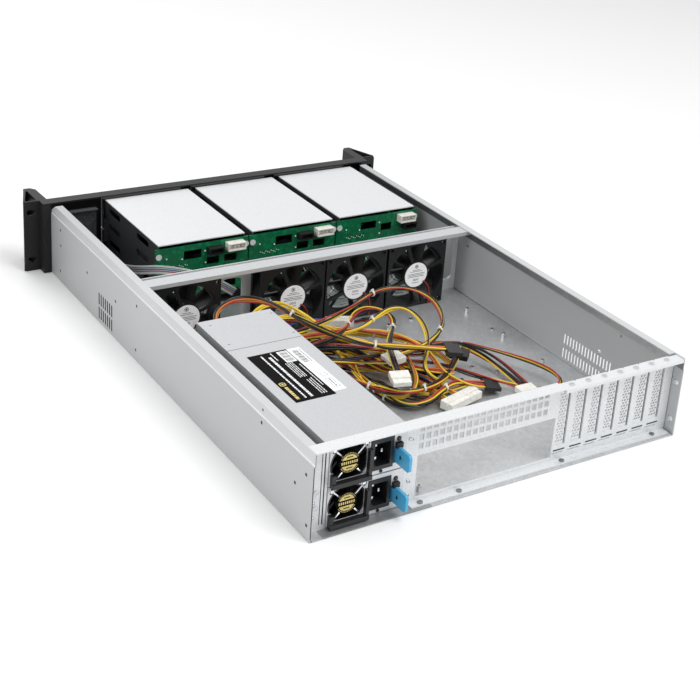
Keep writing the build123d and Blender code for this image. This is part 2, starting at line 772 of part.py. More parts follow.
def make_psu_housing():
    """The steel housing of the redundant supply, open to the rear, with a shelf inside."""
    y0 = y_front + psu_start
    y1 = y_panel - sheet
    shell = block(psu_right, psu_left, y0, y1, sheet, psu_top)
    hollow = block(psu_right + psu_sheet, psu_left - psu_sheet, y0 + psu_sheet, y1 + 1,
                   sheet + psu_sheet, psu_top - psu_sheet)
    partition = block(psu_right, psu_left, y_front + psu_partition,
                      y_front + psu_partition + psu_sheet, sheet, psu_top)
    shelf_z = module_floor(1) - psu_sheet
    shelf = block(psu_right, psu_left, y_front + psu_partition, y1, shelf_z, shelf_z + psu_sheet)
    return shell - hollow + partition + shelf


def module_floor(row):
    """The height of the sheet that a power module lies on."""
    return sheet + psu_sheet + row * (module_pitch - psu_sheet / 2)


module_x0 = psu_right + psu_sheet + module_gap
module_x1 = module_x0 + module_width
module_y1 = y_panel + module_proud
fan_x = module_x1 - 1.0 - module_fan_radius - 1.0
inlet_x1 = fan_x - module_fan_radius - 3.6
latch_x = inlet_x1 - inlet_width - 4.4
latch_pin_y = module_y1 - latch_pin_inset


def latch_low(row):
    """The height of a release tab's lower edge."""
    return module_floor(row) + 7.0


def make_module(row):
    """One power module: a steel case with its fan tunnel, mains inlet, latch bay and grip."""
    z0 = module_floor(row)
    z1 = z0 + module_height
    y0 = module_y1 - module_length
    middle = z0 + module_height / 2
    case = block(module_x0, module_x1, y0, module_y1, z0, z1)
    case -= block(module_x0 + 1, module_x1 - 1, y0 + 1, module_y1 - 1, z0 + 1, z1 - 1)
    fan_block = block(fan_x - module_fan_radius - 1, module_x1, module_y1 - module_fan_depth,
                      module_y1, z0, z1)
    inlet_block = block(inlet_x1 - inlet_width, inlet_x1, module_y1 - inlet_depth,
                        module_y1 + 0.8, middle - inlet_height / 2, middle + inlet_height / 2)
    latch_block = block(latch_x - 6, latch_x + 6, latch_pin_y - 5, module_y1,
                        latch_low(row) - 4, latch_low(row) + latch_height + 4)
    shape = case + fan_block + inlet_block + latch_block
    tunnel = rod_y(fan_x, module_y1 - module_fan_depth - 1, module_y1 + 1, middle,
                   module_fan_radius)
    well = block(inlet_x1 - inlet_width + 3.5, inlet_x1 - 3.5, module_y1 - 16, module_y1 + 2,
                 middle - inlet_height / 2 + 4, middle + inlet_height / 2 - 4)
    bay = block(latch_x - latch_thickness / 2 - latch_play, latch_x + latch_thickness / 2
                + latch_play + 0.6, latch_pin_y - 3.2, module_y1 + 1,
                latch_low(row) - 0.4, latch_low(row) + latch_height + 0.4)
    bore = rod_z(latch_x, latch_pin_y, latch_low(row) - pin_length - 0.6,
                 latch_low(row) + latch_height + pin_length + 0.6, pin_radius + pin_fit)
    shape = shape - tunnel - well - bay - bore
    stator = rod_y(fan_x, module_y1 - 4, module_y1, middle, 9.5)
    stator += rod_y(fan_x, module_y1 - 17.4, module_y1 - 3, middle, 3.4)
    arms = []
    for turn in (45, 135, 225, 315):
        arm = Box(module_fan_radius - 8, 2.0, 2.0)
        arms.append(Pos(fan_x, module_y1 - 1.2, middle) * Rot(0, turn, 0)
                    * Pos(module_fan_radius / 2 + 5, 0, 0) * arm)
    blades_pin = rod_y(fan_x, module_y1 - 22, module_y1 - 4, middle, pin_radius + pin_fit)
    terminals = [block(inlet_x1 - inlet_width / 2 - 1 + dx, inlet_x1 - inlet_width / 2 + 1 + dx,
                       module_y1 - 17, module_y1 - 5, middle + dz - 1.8, middle + dz + 1.8)
                 for dx, dz in ((3.5, -7.0), (3.5, 7.0), (-3.0, 0.0))]
    shape = shape + stator + arms - blades_pin + terminals
    grip_low = block(fan_x - module_fan_radius - 2.4, module_x1 - 0.5, module_y1,
                     module_y1 + grip_depth, z0 + 0.3, z0 + 4.6)
    grip_right = block(fan_x - module_fan_radius - 2.4, fan_x - module_fan_radius + 0.6,
                       module_y1, module_y1 + grip_depth - 1, z0 + 0.3, z0 + 30)
    grip_left = block(module_x1 - 3.8, module_x1 - 0.5, module_y1, module_y1 + grip_depth - 1,
                      z0 + 0.3, z0 + 13)
    return shape + grip_low + grip_right + grip_left


def make_module_rotor(row):
    """The impeller in a power module's fan tunnel."""
    middle = module_floor(row) + module_height / 2
    depth = 15.0
    y0 = module_y1 - 5 - depth
    return make_rotor(fan_x, middle, y0, depth, 9.0, module_fan_radius - 0.8,
                      module_fan_blades, depth - 1)


def make_latch(row):
    """The blue release tab of a power module and its pivot."""
    low = latch_low(row)
    high = low + latch_height
    plate = block(latch_x - latch_thickness / 2, latch_x + latch_thickness / 2, latch_pin_y,
                  y_rear + latch_overhang, low, high)
    plate = fillet(plate.edges().filter_by(Axis.X).group_by(Axis.Y)[-1], 3.0)
    knuckle = rod_z(latch_x, latch_pin_y, low, high, 2.4)
    pin = rod_z(latch_x, latch_pin_y, low - pin_length, high + pin_length, pin_radius)
    return plate + knuckle + pin


def make_io_board():
    """The bracket and board behind the front controls, with switches and ports."""
    x0 = control_x - 18
    x1 = control_x + 20
    y0 = y_front + 5.0
    bracket_top = body_height - bracket_drop
    plate = block(x0, x1, y0, y0 + 1.6, sheet, bracket_top)
    foot = block(x0, x1, y0, y0 + 14, sheet, 2 * sheet)
    lip = block(x0, x1, y0, y0 + 8, bracket_top - sheet, bracket_top)
    shape = plate + foot + lip
    for z, radius in ((power_height, power_radius), (reset_height, reset_radius)):
        body = block(control_x - 6, control_x + 6, y0 - 7.5, y0, z - 5, z + 5)
        shape += body - rod_y(control_x, y0 - 9, y0 - 0.8, z, radius + button_play)
    for i in range(2):
        shell = block(control_x - 6.6, control_x + 6.6, face_y + 0.4, y0, 16.4 + i * 11,
                      21.6 + i * 11)
        shape += shell - block(control_x - 6, control_x + 6, face_y, y0 - 4, 17 + i * 11,
                               21 + i * 11)
    return shape


def make_button(z, radius):
    """A round button that slides in the switch behind the panel."""
    y0 = face_y - button_proud
    stop = y_front + 5.0 - 0.8 - button_travel - 0.3
    return rod_y(control_x, y0, stop, z, radius)


def make_standoffs():
    """Hexagon posts on the floor that carry a mainboard."""
    posts = []
    for column in board_columns:
        for row in board_rows:
            x = board_first_x - column
            y = y_front + board_first_y - row
            post = Pos(x, y, sheet) * extrude(RegularPolygon(standoff_radius, 6),
                                              standoff_height)
            bore = rod_z(x, y, sheet + 1.0, sheet + standoff_height + 1, standoff_bore)
            posts.append(post - bore)
    for x, y in nut_places:
        nut = rod_z(x, y_front + y, sheet, sheet + nut_height, nut_radius)
        posts.append(nut - rod_z(x, y_front + y, sheet + 0.6, sheet + nut_height + 1,
                                 standoff_bore))
    return Compound(posts)


def screw_z(x, y, z):
    """A pan head standing on a flat sheet."""
    head = rod_z(x, y, z, z + screw_head_height, screw_head_radius)
    return head - block(x - 1.9, x + 1.9, y - 0.35, y + 0.35, z + 0.7, z + 3)


def screw_y(x, y, z, way):
    """A pan head on an upright sheet, facing the given way along Y."""
    head = rod_y(x, y, y + way * screw_head_height, z, screw_head_radius)
    return head - block(x - 1.9, x + 1.9, y + way * 0.7, y + way * 3, z - 0.35, z + 0.35)


def make_screws():
    """The visible screws of the rear edge, the backplanes and the floor."""
    heads = []
    bar_top = slot_shelf + sheet + cover_sheet + sheet
    for x in slot_centres():
        heads.append(screw_z(x, y_panel + 6, bar_top))
    for x in (psu_right - 16, io_right_edge - 47, slot_first - 0.8, 22.2 - band_half):
        heads.append(screw_z(x, y_panel + 5, 2 * sheet))
    for index in range(cage_count):
        edge = backplane_left(index)
        for x in (3.6, backplane_width - 3.6):
            for drop in (8.5, backplane_height - 8.5):
                heads.append(screw_y(edge - x, backplane_y + backplane_sheet,
                                     backplane_top - drop, 1))
    for z in (24.0, 40.0):
        heads.append(screw_y(psu_left + 10, y_panel, z, 1))
    return Compound(heads)


def cord_path(route):
    """Straight runs joined by tangent arcs as large as both runs of each corner allow."""
    points = [Vector(x, y_front + y, z) for x, y, z in route]
    radii = []
    for before, here, after in zip(points, points[1:], points[2:]):
        back = here - before
        ahead = after - here
        turn = math.radians(back.get_angle(ahead))
        radii.append(0.45 * min(back.length, ahead.length) / math.tan(turn / 2))
    return FilletPolyline(*points, radius=radii), radii


def make_cord(name, route, diameter, profile=None):
    """A cord's plain solid along its route, printed with its radii, length and volume."""
    path, radii = cord_path(route)
    start = Plane(origin=path @ 0, x_dir=(0, 0, 1), z_dir=path % 0)
    section = start * (profile or Circle(diameter / 2))
    solid = sweep(section, path=path)
    expected = section.area * path.length
    print(name, "radii", [round(r) for r in radii], "length", round(path.length),
          "volume ratio", round(solid.volume / expected, 4))
    return solid


def end_plane(route):
    """The plane at a cord's far end, facing along its last run."""
    x0, y0, z0 = route[-2]
    x1, y1, z1 = route[-1]
    way = Vector(x1 - x0, y1 - y0, z1 - z0)
    level = Vector(0, 0, 1).cross(way)
    return Plane(origin=(x1, y_front + y1, z1), x_dir=level, z_dir=way)


def make_plug(route, width, thickness, length):
    """A plug's body on a cord's end: a block with a grip step and a nose."""
    body = Pos(0, 0, length * 0.3) * Box(width, thickness, length * 0.6)
    nose = Pos(0, 0, length * 0.8) * Box(width - 2, thickness - 2, length * 0.4)
    body = fillet(body.edges().filter_by(Axis.Z), 0.8)
    return end_plane(route) * (body + nose)


def make_white_plugs():
    """The white four-pin plugs and the wide mainboard plug."""
    return Compound([make_plug(loop_route, 21.0, 7.0, 19.0), make_plug(far_route, 21.0, 7.0, 19.0),
                     make_plug(knot_route, 21.0, 7.0, 19.0),
                     make_plug(trunk_route, 50.0, 9.5, 15.0)])


def make_black_plugs():
    """The flat black drive power plugs and the ribbon's small one."""
    return Compound([make_plug(arch_route, 24.0, 6.0, 17.0),
                     make_plug(sweep_route, 24.0, 6.0, 17.0),
                     make_plug(floor_route, 24.0, 5.8, 17.0),
                     make_plug(ribbon_route, 7.0, 14.0, 14.0)])


def build():
    """Make and save every piece."""
    os.makedirs("parts", exist_ok=True)
    save(make_chassis_tray(), "chassis_tray")
    save(make_rear_panel(), "rear_panel")
    save(make_slot_covers(), "slot_covers")
    save(make_retainer_bar(), "slot_retainer_bar")
    save(make_front_panel(), "front_panel")
    save(make_handle(1), "rack_handle_right")
    save(make_handle(-1), "rack_handle_left")
    save(make_cage_lids(), "cage_lids")
    save(make_power_sockets(), "backplane_power_sockets")
    save(make_data_sockets(), "backplane_data_sockets")
    for index in range(cage_count):
        save(make_cage(index), "drive_cage_" + str(index + 1))
        save(make_backplane(index), "backplane_" + str(index + 1))
    for index in range(cage_count * tray_rows):
        save(make_tray(index), "drive_tray_" + str(index + 1))
        save(make_lever(index), "tray_lever_" + str(index + 1))
    save(make_crossbar(), "crossbar")
    save(make_fan_bracket(), "fan_bracket")
    for index, x in enumerate(fan_centres):
        save(make_fan_frame(index), "fan_frame_" + str(index + 1))
        rotor = make_rotor(x, fan_middle_z, fan_wall_y + sheet + 2, 18.0, fan_hub_radius,
                           fan_bore / 2 - 1.0, fan_blades, 17.0)
        save(rotor, "fan_rotor_" + str(index + 1))
    save(make_psu_housing(), "psu_housing")
    for row, name in ((0, "lower"), (1, "upper")):
        save(make_module(row), "psu_module_" + name)
        save(make_module_rotor(row), "psu_fan_rotor_" + name)
        save(make_latch(row), "psu_latch_" + name)
    save(make_io_board(), "front_io_board")
    save(make_button(power_height, power_radius), "power_button")
    save(make_button(reset_height, reset_radius), "reset_button")
    save(make_standoffs(), "board_standoffs")
    save(make_screws(), "screws")
    save(make_white_plugs(), "white_cable_plugs")
    save(make_black_plugs(), "black_cable_plugs")
    routes = [("trunk", trunk_route, trunk_diameter), ("arch", arch_route, lead_diameter),
              ("loop", loop_route, lead_diameter), ("far", far_route, lead_diameter),
              ("knot", knot_route, lead_diameter), ("floor", floor_route, lead_diameter),
              ("sweep", sweep_route, lead_diameter)]
    for name, route, diameter in routes:
        save(make_cord(name, route, diameter), "harness_" + name)
    strip = Rectangle(ribbon_width, ribbon_sheet)
    save(make_cord("ribbon", ribbon_route, ribbon_width, strip), "ribbon_cable")


build()
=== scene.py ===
import bmesh
import bpy
import math
from mathutils import Matrix, Vector


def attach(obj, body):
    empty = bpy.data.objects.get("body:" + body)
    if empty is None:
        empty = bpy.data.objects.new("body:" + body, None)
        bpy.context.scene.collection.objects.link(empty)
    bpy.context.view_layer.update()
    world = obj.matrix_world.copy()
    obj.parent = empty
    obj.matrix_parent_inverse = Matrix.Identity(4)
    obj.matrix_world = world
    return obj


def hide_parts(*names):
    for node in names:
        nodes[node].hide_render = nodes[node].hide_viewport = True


# A two-unit rack server chassis with its lid off, seen from behind and above. Metres, in
# the part's own frame: +X to the right seen from the front, front towards -Y, +Z up.

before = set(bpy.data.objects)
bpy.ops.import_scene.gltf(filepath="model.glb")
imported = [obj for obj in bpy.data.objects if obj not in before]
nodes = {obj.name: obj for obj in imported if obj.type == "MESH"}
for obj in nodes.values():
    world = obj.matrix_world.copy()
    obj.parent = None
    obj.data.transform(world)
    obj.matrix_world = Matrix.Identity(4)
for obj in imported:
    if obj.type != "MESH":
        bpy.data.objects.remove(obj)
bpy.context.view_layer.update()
scene = bpy.context.scene
scene.view_settings.view_transform = "Standard"

# Camera
# It stands behind, above and to the left of the chassis, at the photograph's angle. The
# photograph's upright edges hardly lean, so the lens is shifted a little.
camera_place = Vector((0.74923, 1.21232, 0.70561))
camera_right = Vector((-0.83075611, 0.55053064, 0.08222105))
camera_up = Vector((-0.14493089, -0.35654621, 0.92296794))
camera_data = bpy.data.cameras.new("camera")
camera_data.sensor_width = 36.0
camera_data.lens = 72.66
camera_data.shift_x = -0.1
camera_data.shift_y = -0.157
camera_data.clip_end = 20.0
camera = bpy.data.objects.new("camera", camera_data)
turn = Matrix((camera_right, camera_up, camera_right.cross(camera_up))).transposed()
camera.matrix_world = Matrix.Translation(camera_place) @ turn.to_4x4()
scene.collection.objects.link(camera)
scene.camera = camera


# Floor and light
# A pale seamless floor, a bright room and three soft lamps, as in a product studio.
def linear(code):
    """Turn an sRGB hex value into the linear colour that a shader takes."""
    parts = [int(code[i:i + 2], 16) / 255 for i in (1, 3, 5)]
    return (*[p / 12.92 if p < 0.04045 else ((p + 0.055) / 1.055) ** 2.4 for p in parts], 1.0)


def add_node(tree, kind, inputs, stops=()):
    """Add a shader node. A setting or input takes a value or another node's output, and a
    colour ramp also takes its stops, each a place on it and a hex value."""
    node = tree.nodes.new("ShaderNode" + kind)
    for name, value in inputs.items():
        if isinstance(value, bpy.types.NodeSocket):
            tree.links.new(value, node.inputs[name])
        elif isinstance(name, str) and hasattr(node, name):
            setattr(node, name, value)
        else:
            node.inputs[name].default_value = value
    if stops:
        elements = node.color_ramp.elements
        for element, (position, code) in zip(elements, (stops[0], stops[-1])):
            element.position = position
            element.color = linear(code)
        for position, code in stops[1:-1]:
            elements.new(position).color = linear(code)
    return node


def new_material(name):
    """An empty node tree under a new name."""
    material = bpy.data.materials.new(name)
    material.use_nodes = True
    material.node_tree.nodes.clear()
    return material, material.node_tree


def finish_tree(tree, inputs):
    """End a material's tree in one shader."""
    shader = add_node(tree, "BsdfPrincipled", inputs)
    add_node(tree, "OutputMaterial", {"Surface": shader.outputs[0]})


studio_floor, tree = new_material("white seamless paper")
finish_tree(tree, {"Base Color": linear("#f7f7f7"), "Roughness": 0.9})
bm = bmesh.new()
bmesh.ops.create_grid(bm, x_segments=1, y_segments=1, size=6.0,
                      matrix=Matrix.Translation((0, 0, -0.0004)))
floor_mesh = bpy.data.meshes.new("studio_floor")
bm.to_mesh(floor_mesh)
bm.free()
floor_mesh.materials.append(studio_floor)
floor = bpy.data.objects.new("studio_floor", floor_mesh)
scene.collection.objects.link(floor)

world = bpy.data.worlds.new("studio")
scene.world = world
world.use_nodes = True
tree = world.node_tree
tree.nodes.clear()
path = add_node(tree, "LightPath", {})
seen = add_node(tree, "Math", {"operation": "MAXIMUM", 0: path.outputs["Is Camera Ray"],
                               1: path.outputs["Is Glossy Ray"]}).outputs[0]
level = add_node(tree, "MapRange", {"To Min": 0.62, "To Max": 1.0, "Value": seen}).outputs[0]
background = add_node(tree, "Background", {"Color": (1, 1, 1, 1), "Strength": level})
add_node(tree, "OutputWorld", {"Surface": background.outputs[0]})

lamps = [("key_lamp", (-0.6, 1.3, 2.2), 1.6, 34.0), ("side_lamp", (2.2, 0.4, 1.4), 1.4, 16.0),
         ("front_lamp", (0.2, -2.0, 1.8), 1.6, 14.0)]
for name, place, size, power in lamps:
    lamp_data = bpy.data.lights.new(name, "AREA")
    lamp_data.shape = "DISK"
    lamp_data.size = size
    lamp_data.energy = power
    lamp = bpy.data.objects.new(name, lamp_data)
    lamp.location = place
    lamp.rotation_euler = (-Vector(place)).to_track_quat("-Z", "Y").to_euler()
    scene.collection.objects.link(lamp)


# Chassis tray
# The floor and side walls are one folded sheet of spangled zinc-coated steel, 1.2 mm thick,
# with a smooth pale grey coat on the outside only. The walls' top band leans in a little.
def speckled(name, dark, light, scale, roughness, metallic=0.0, relief=0.0, shine=0.5):
    """A finish whose tone wanders finely between two hex values."""
    material, tree = new_material(name)
    place = add_node(tree, "TexCoord", {}).outputs["Object"]
    speckle = add_node(tree, "TexNoise", {"Scale": scale, "Vector": place}).outputs["Fac"]
    colour = add_node(tree, "ValToRGB", {"Fac": speckle}, [(0.3, dark), (0.7, light)])
    inputs = {"Roughness": roughness, "Metallic": metallic, "Specular IOR Level": shine,
              "Base Color": colour.outputs[0]}
    if relief:
        inputs["Normal"] = add_node(tree, "Bump", {"Strength": relief, "Distance": grain_depth,
                                                   "Height": speckle}).outputs[0]
    finish_tree(tree, inputs)
    return material


def within(tree, source, low, high):
    """A mask that is one where a value lies between two others."""
    return add_node(tree, "Math", {"operation": "COMPARE", 0: source, 1: (low + high) / 2,
                                   2: (high - low) / 2}).outputs[0]


def both(tree, first, second):
    """A mask that is one where two others are."""
    return add_node(tree, "Math", {"operation": "MULTIPLY", 0: first, 1: second}).outputs[0]


def either(tree, first, second):
    """A mask that is one where either of two others is."""
    return add_node(tree, "Math", {"operation": "MAXIMUM", 0: first, 1: second}).outputs[0]


outer_face = 0.21175
inner_face = 0.2105
crease = 0.076
body_top = 0.088
sheet = 0.0012
grain_depth = 0.0002
panel_back = 0.3237
ledge_end = 0.34

zinc_steel, tree = new_material("galvanised steel, pale grey coat outside")
place = add_node(tree, "TexCoord", {}).outputs["Object"]
# Zinc crystals of about 4 mm, seen as faint patches; the fine speckle is drawn at 1 mm,
# coarser than the real one, so that it shows.
spangle = add_node(tree, "TexVoronoi", {"Scale": 240.0, "Vector": place})
speckle = add_node(tree, "TexNoise", {"Scale": 1000.0, "Detail": 3.0, "Vector": place}).outputs
zinc_tone = add_node(tree, "Mix", {"data_type": "RGBA", 0: 0.8, 6: spangle.outputs["Color"],
                                   7: speckle["Color"]})
zinc_grey = add_node(tree, "RGBToBW", {"Color": zinc_tone.outputs[2]}).outputs[0]
zinc = add_node(tree, "ValToRGB", {"Fac": zinc_grey}, [(0.3, "#a7a9ab"), (0.7, "#c4c6c8")])
cloud = add_node(tree, "TexNoise", {"Scale": 12.0, "Detail": 3.0, "Vector": place})
cloud = add_node(tree, "ValToRGB", {"Fac": cloud.outputs["Fac"]},
                 [(0.3, "#e6e6e6"), (0.65, "#ffffff")])
zinc = add_node(tree, "Mix", {"data_type": "RGBA", "blend_type": "MULTIPLY", 0: 1.0,
                              6: zinc.outputs[0], 7: cloud.outputs[0]}).outputs[2]
axes = add_node(tree, "SeparateXYZ", {0: place}).outputs
reach = add_node(tree, "Math", {"operation": "ABSOLUTE", 0: axes["X"]}).outputs[0]
# Painted shade and light: the floor and the walls' inner faces are drawn darker towards the front
# and lighter towards the rear, as in the photograph.
floor_shade = add_node(tree, "MapRange", {"From Min": -0.05, "From Max": 0.3, "To Min": 1.12,
                                          "To Max": 1.24, "Value": axes["Y"]}).outputs[0]
wall_shade = add_node(tree, "MapRange", {"From Min": -0.03, "From Max": 0.33, "To Min": 0.34,
                                         "To Max": 1.35, "Value": axes["Y"]}).outputs[0]
on_wall = within(tree, reach, inner_face, outer_face)
shade = add_node(tree, "Mix", {0: on_wall, 2: floor_shade, 3: wall_shade}).outputs[0]
# Painted shade: behind the rear panel, the ledge under the power supply and the walls' inner faces
# are drawn darker, as in the photograph.
on_ledge = within(tree, axes["Y"], panel_back, ledge_end)
under_supply = both(tree, on_ledge, within(tree, axes["X"], 0.085, 0.2))
shade = add_node(tree, "Mix", {0: under_supply, 2: shade, 3: 0.7}).outputs[0]
shade = add_node(tree, "Mix", {0: both(tree, on_wall, on_ledge), 2: shade, 3: 0.55}).outputs[0]
zinc = add_node(tree, "VectorMath", {"operation": "SCALE", 0: zinc, "Scale": shade}).outputs[0]
coated = either(tree, within(tree, reach, outer_face, 1.0),
                within(tree, axes["Z"], body_top - sheet, 1.0))
# The coat has a painted shade line and a painted highlight line at the crease, and painted shade
# makes it darker towards the front.
coat_tones_with_crease_light = ((-0.0014, "#b3b5b6"), (-0.0006, "#a3a5a6"), (0.0002, "#f2f4f5"),
              (0.0010, "#f2f4f5"), (0.0018, "#c4c6c7"))
height = add_node(tree, "MapRange", {"From Max": body_top, "Value": axes["Z"]}).outputs[0]
coat = add_node(tree, "ValToRGB", {"Fac": height},
                [((crease + lift) / body_top, code) for lift, code in coat_tones_with_crease_light]).outputs[0]
shade = add_node(tree, "MapRange", {"From Min": -0.29, "From Max": -0.02, "To Min": 0.76,
                                    "Value": axes["Y"]}).outputs[0]
coat = add_node(tree, "VectorMath", {"operation": "SCALE", 0: coat, "Scale": shade}).outputs[0]
colour = add_node(tree, "Mix", {"data_type": "RGBA", 0: coated, 6: zinc, 7: coat}).outputs[2]
# The cut edges inside the near wall's vents and holes stay in the shade.
cut_edge = both(tree, within(tree, axes["X"], 0.2119, 0.21292),
                within(tree, axes["Z"], 0.003, 0.0745))
colour = add_node(tree, "Mix", {"data_type": "RGBA", 0: cut_edge, 6: colour,
                                7: linear("#3a3c3e")}).outputs[2]
roughness = add_node(tree, "MapRange", {"To Min": 0.34, "To Max": 0.5, "Value": zinc_grey})
metallic = add_node(tree, "MapRange", {"To Min": 0.55, "To Max": 0.1, "Value": coated})
grain = add_node(tree, "Bump", {"Strength": 0.12, "Distance": grain_depth,
                                "Height": speckle["Fac"]})
finish_tree(tree, {"Base Color": colour, "Roughness": roughness.outputs[0],
                   "Metallic": metallic.outputs[0], "Normal": grain.outputs[0]})


def dress(material, *names):
    """Give CAD nodes their finish."""
    for name in names:
        mesh = nodes[name].data
        mesh.materials.clear()
        mesh.materials.append(material)


dress(zinc_steel, "chassis_tray")


def finish_piece(name, bm, materials, smooth=False, body="chassis"):
    """Make an object of a finished mesh and let it ride on a body."""
    bmesh.ops.recalc_face_normals(bm, faces=bm.faces)
    mesh = bpy.data.meshes.new(name)
    bm.to_mesh(mesh)
    bm.free()
    for material in materials:
        mesh.materials.append(material)
    for polygon in mesh.polygons:
        polygon.use_smooth = smooth
    piece = bpy.data.objects.new(name, mesh)
    scene.collection.objects.link(piece)
    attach(piece, body)
    return piece


def add_cube(bm, matrix, rounding=0.0):
    """Add a box, its edges eased by a bevel."""
    made = bmesh.ops.create_cube(bm, size=1.0, matrix=matrix)
    if rounding:
        edges = list({edge for vertex in made["verts"] for edge in vertex.link_edges})
        bmesh.ops.bevel(bm, geom=edges, offset=rounding, segments=2, profile=0.5,
                        affect="EDGES", material=-1)


def add_block(bm, low, high, slot=0, rounding=0.0):
    """Add a box between two corners."""
    low, high = Vector(low), Vector(high)
    before = set(bm.faces)
    add_cube(bm, Matrix.Translation((low + high) / 2) @ Matrix.Diagonal((*(high - low), 1.0)),
             rounding)
    for face in set(bm.faces) - before:
        face.material_index = slot


def add_bar(bm, start, end, radius, slot=0, sides=16, far_radius=None):
    """Add a round bar or a cone between two points."""
    start, end = Vector(start), Vector(end)
    turn = (end - start).to_track_quat("Z", "Y").to_matrix().to_4x4()
    matrix = Matrix.Translation((start + end) / 2) @ turn
    made = bmesh.ops.create_cone(bm, cap_ends=True, segments=sides, radius1=radius,
                                 radius2=radius if far_radius is None else far_radius,
                                 depth=(end - start).length, matrix=matrix)
    for face in {face for vertex in made["verts"] for face in vertex.link_faces}:
        face.material_index = slot


def add_stud(bm, foot, way, radius, slot=0, sides=16, far_radius=None):
    """Add a round bar or a cone that stands on a foot and reaches along a way."""
    add_bar(bm, foot, Vector(foot) + Vector(way), radius, slot, sides, far_radius)


def add_ring(bm, centre, axis, radius, wire, slot=0, steps=40):
    """Add a closed ring of round wire by spinning a small circle about an axis."""
    before = set(bm.faces)
    turn = Vector(axis).to_track_quat("Z", "Y").to_matrix().to_4x4()
    stand = Matrix.Translation((radius, 0, 0)) @ Matrix.Rotation(math.pi / 2, 4, "X")
    made = bmesh.ops.create_circle(bm, segments=8, radius=wire,
                                   matrix=Matrix.Translation(centre) @ turn @ stand)
    edges = list({edge for vertex in made["verts"] for edge in vertex.link_edges})
    bmesh.ops.spin(bm, geom=made["verts"] + edges, cent=centre, axis=axis,
                   angle=math.tau, steps=steps, use_merge=True)
    for face in set(bm.faces) - before:
        face.material_index = slot


# Rivets and screw ends inside the walls
# Bright zinc-plated steel: domed rivet heads pressed through the sheet.
plated_steel = speckled("bright zinc plating", "#b9bcbe", "#e6e8ea", 700.0, 0.26, 0.9)
bm = bmesh.new()
wall_in = 0.2118
head_rise = 0.0012
end_rise = 0.0014
for side, y, z in ((-1, 0.2125, 0.037), (-1, 0.3285, 0.058), (-1, 0.3285, 0.016),
                   (1, 0.2415, 0.07), (1, -0.0375, 0.064)):
    add_stud(bm, (side * wall_in, y, z), (-side * head_rise, 0, 0), 0.0033, 0, 20, 0.0024)
    add_stud(bm, (side * (wall_in - head_rise), y, z), (-side * end_rise, 0, 0), 0.0012)
finish_piece("wall_rivets", bm, [plated_steel])

# Rear panel, slot covers, retainer bar and cooling wall
# Bright zinc-coated steel sheet, a little paler and smoother than the tray, with punched
# openings. It is folded and riveted to the tray, and the slot covers are screwed on.
pale_steel = speckled("bright galvanised steel", "#d2d4d6", "#e4e6e8", 900.0, 0.42, 0.3, 0.08)
dress(pale_steel, "rear_panel", "slot_covers", "slot_retainer_bar", "fan_bracket")

# Front control board and board posts
# A dark circuit board on a folded bracket behind the front panel, and the zinc-plated hexagon
# posts and nuts in the floor.
board_grey = speckled("dark board and bracket", "#2c2d2f", "#4a4c4e", 500.0, 0.5, 0.2)
dress(board_grey, "front_io_board")
dress(plated_steel, "board_standoffs")

# Cage lids
# White-metallic sheet, smooth and almost shadowless.
lid_steel = speckled("bright brushed lid", "#cfd1d3", "#e0e2e4", 900.0, 0.42, 0.35, 0.08)
dress(lid_steel, "cage_lids")

# Crossbar and power supply housing
# Smooth zinc-coated steel in a slightly darker, cooler grey than the rear panel.
smooth_steel = speckled("smooth galvanised steel", "#b8babc", "#c6c8cb", 1100.0, 0.45, 0.3, 0.05)
dress(smooth_steel, "crossbar", "psu_housing")

# Screws
# Zinc-plated pan heads; those in the rear ledge are painted darker, as painted shade from the
# ledge.
ledge_top = 0.006
screw_steel, tree = new_material("zinc plate, painted shade in the ledge")
place = add_node(tree, "TexCoord", {}).outputs["Object"]
wear = add_node(tree, "TexNoise", {"Scale": 900.0, "Vector": place}).outputs["Fac"]
wear = add_node(tree, "ValToRGB", {"Fac": wear}, [(0.0, "#b6b9bb"), (1.0, "#e2e4e6")])
# Painted shade: screws low in the rear ledge are given a darker grey.
low = within(tree, add_node(tree, "SeparateXYZ", {0: place}).outputs["Z"], 0.0, ledge_top)
colour = add_node(tree, "Mix", {"data_type": "RGBA", 0: low, 6: wear.outputs[0],
                                7: linear("#85888b")})
finish_tree(tree, {"Metallic": 0.85, "Roughness": 0.3, "Base Color": colour.outputs[2]})
dress(screw_steel, "screws")

# Power modules
# Bright steel cases. The fan in the round hole and the mains inlet in each rear face are black
# plastic, and so are the grips that stand out round the fan.
rows_middle = 0.0424
row_half_gap = 0.02045
module_face = 0.3235
module_fan_x = 0.1701
module_middles = {"lower": rows_middle - row_half_gap, "upper": rows_middle + row_half_gap}

module_steel, tree = new_material("bright steel, black fan and inlet")
place = add_node(tree, "TexCoord", {}).outputs["Object"]
wear = add_node(tree, "TexNoise", {"Scale": 900.0, "Vector": place}).outputs["Fac"]
wear = add_node(tree, "ValToRGB", {"Fac": wear}, [(0.0, "#c4c6c8"), (1.0, "#dcdee0")])
axes = add_node(tree, "SeparateXYZ", {0: place}).outputs
off_rows = add_node(tree, "Math", {"operation": "SUBTRACT", 0: axes["Z"], 1: rows_middle})
off_rows = add_node(tree, "Math", {"operation": "ABSOLUTE", 0: off_rows.outputs[0]})
off_row = add_node(tree, "Math", {"operation": "SUBTRACT", 0: off_rows.outputs[0],
                                  1: row_half_gap}).outputs[0]
off_fan = add_node(tree, "Math", {"operation": "SUBTRACT", 0: axes["X"],
                                  1: module_fan_x}).outputs[0]
from_hub = add_node(tree, "CombineXYZ", {"X": off_fan, "Y": off_row}).outputs[0]
from_hub = add_node(tree, "VectorMath", {"operation": "LENGTH", 0: from_hub}).outputs["Value"]
fan_circle = both(tree, within(tree, from_hub, -1.0, 0.0196),
                  within(tree, axes["Y"], 0.2956, 0.3236))
inlet_box = both(tree, within(tree, axes["X"], 0.1246, 0.149),
                 within(tree, off_row, -0.0158, 0.0158))
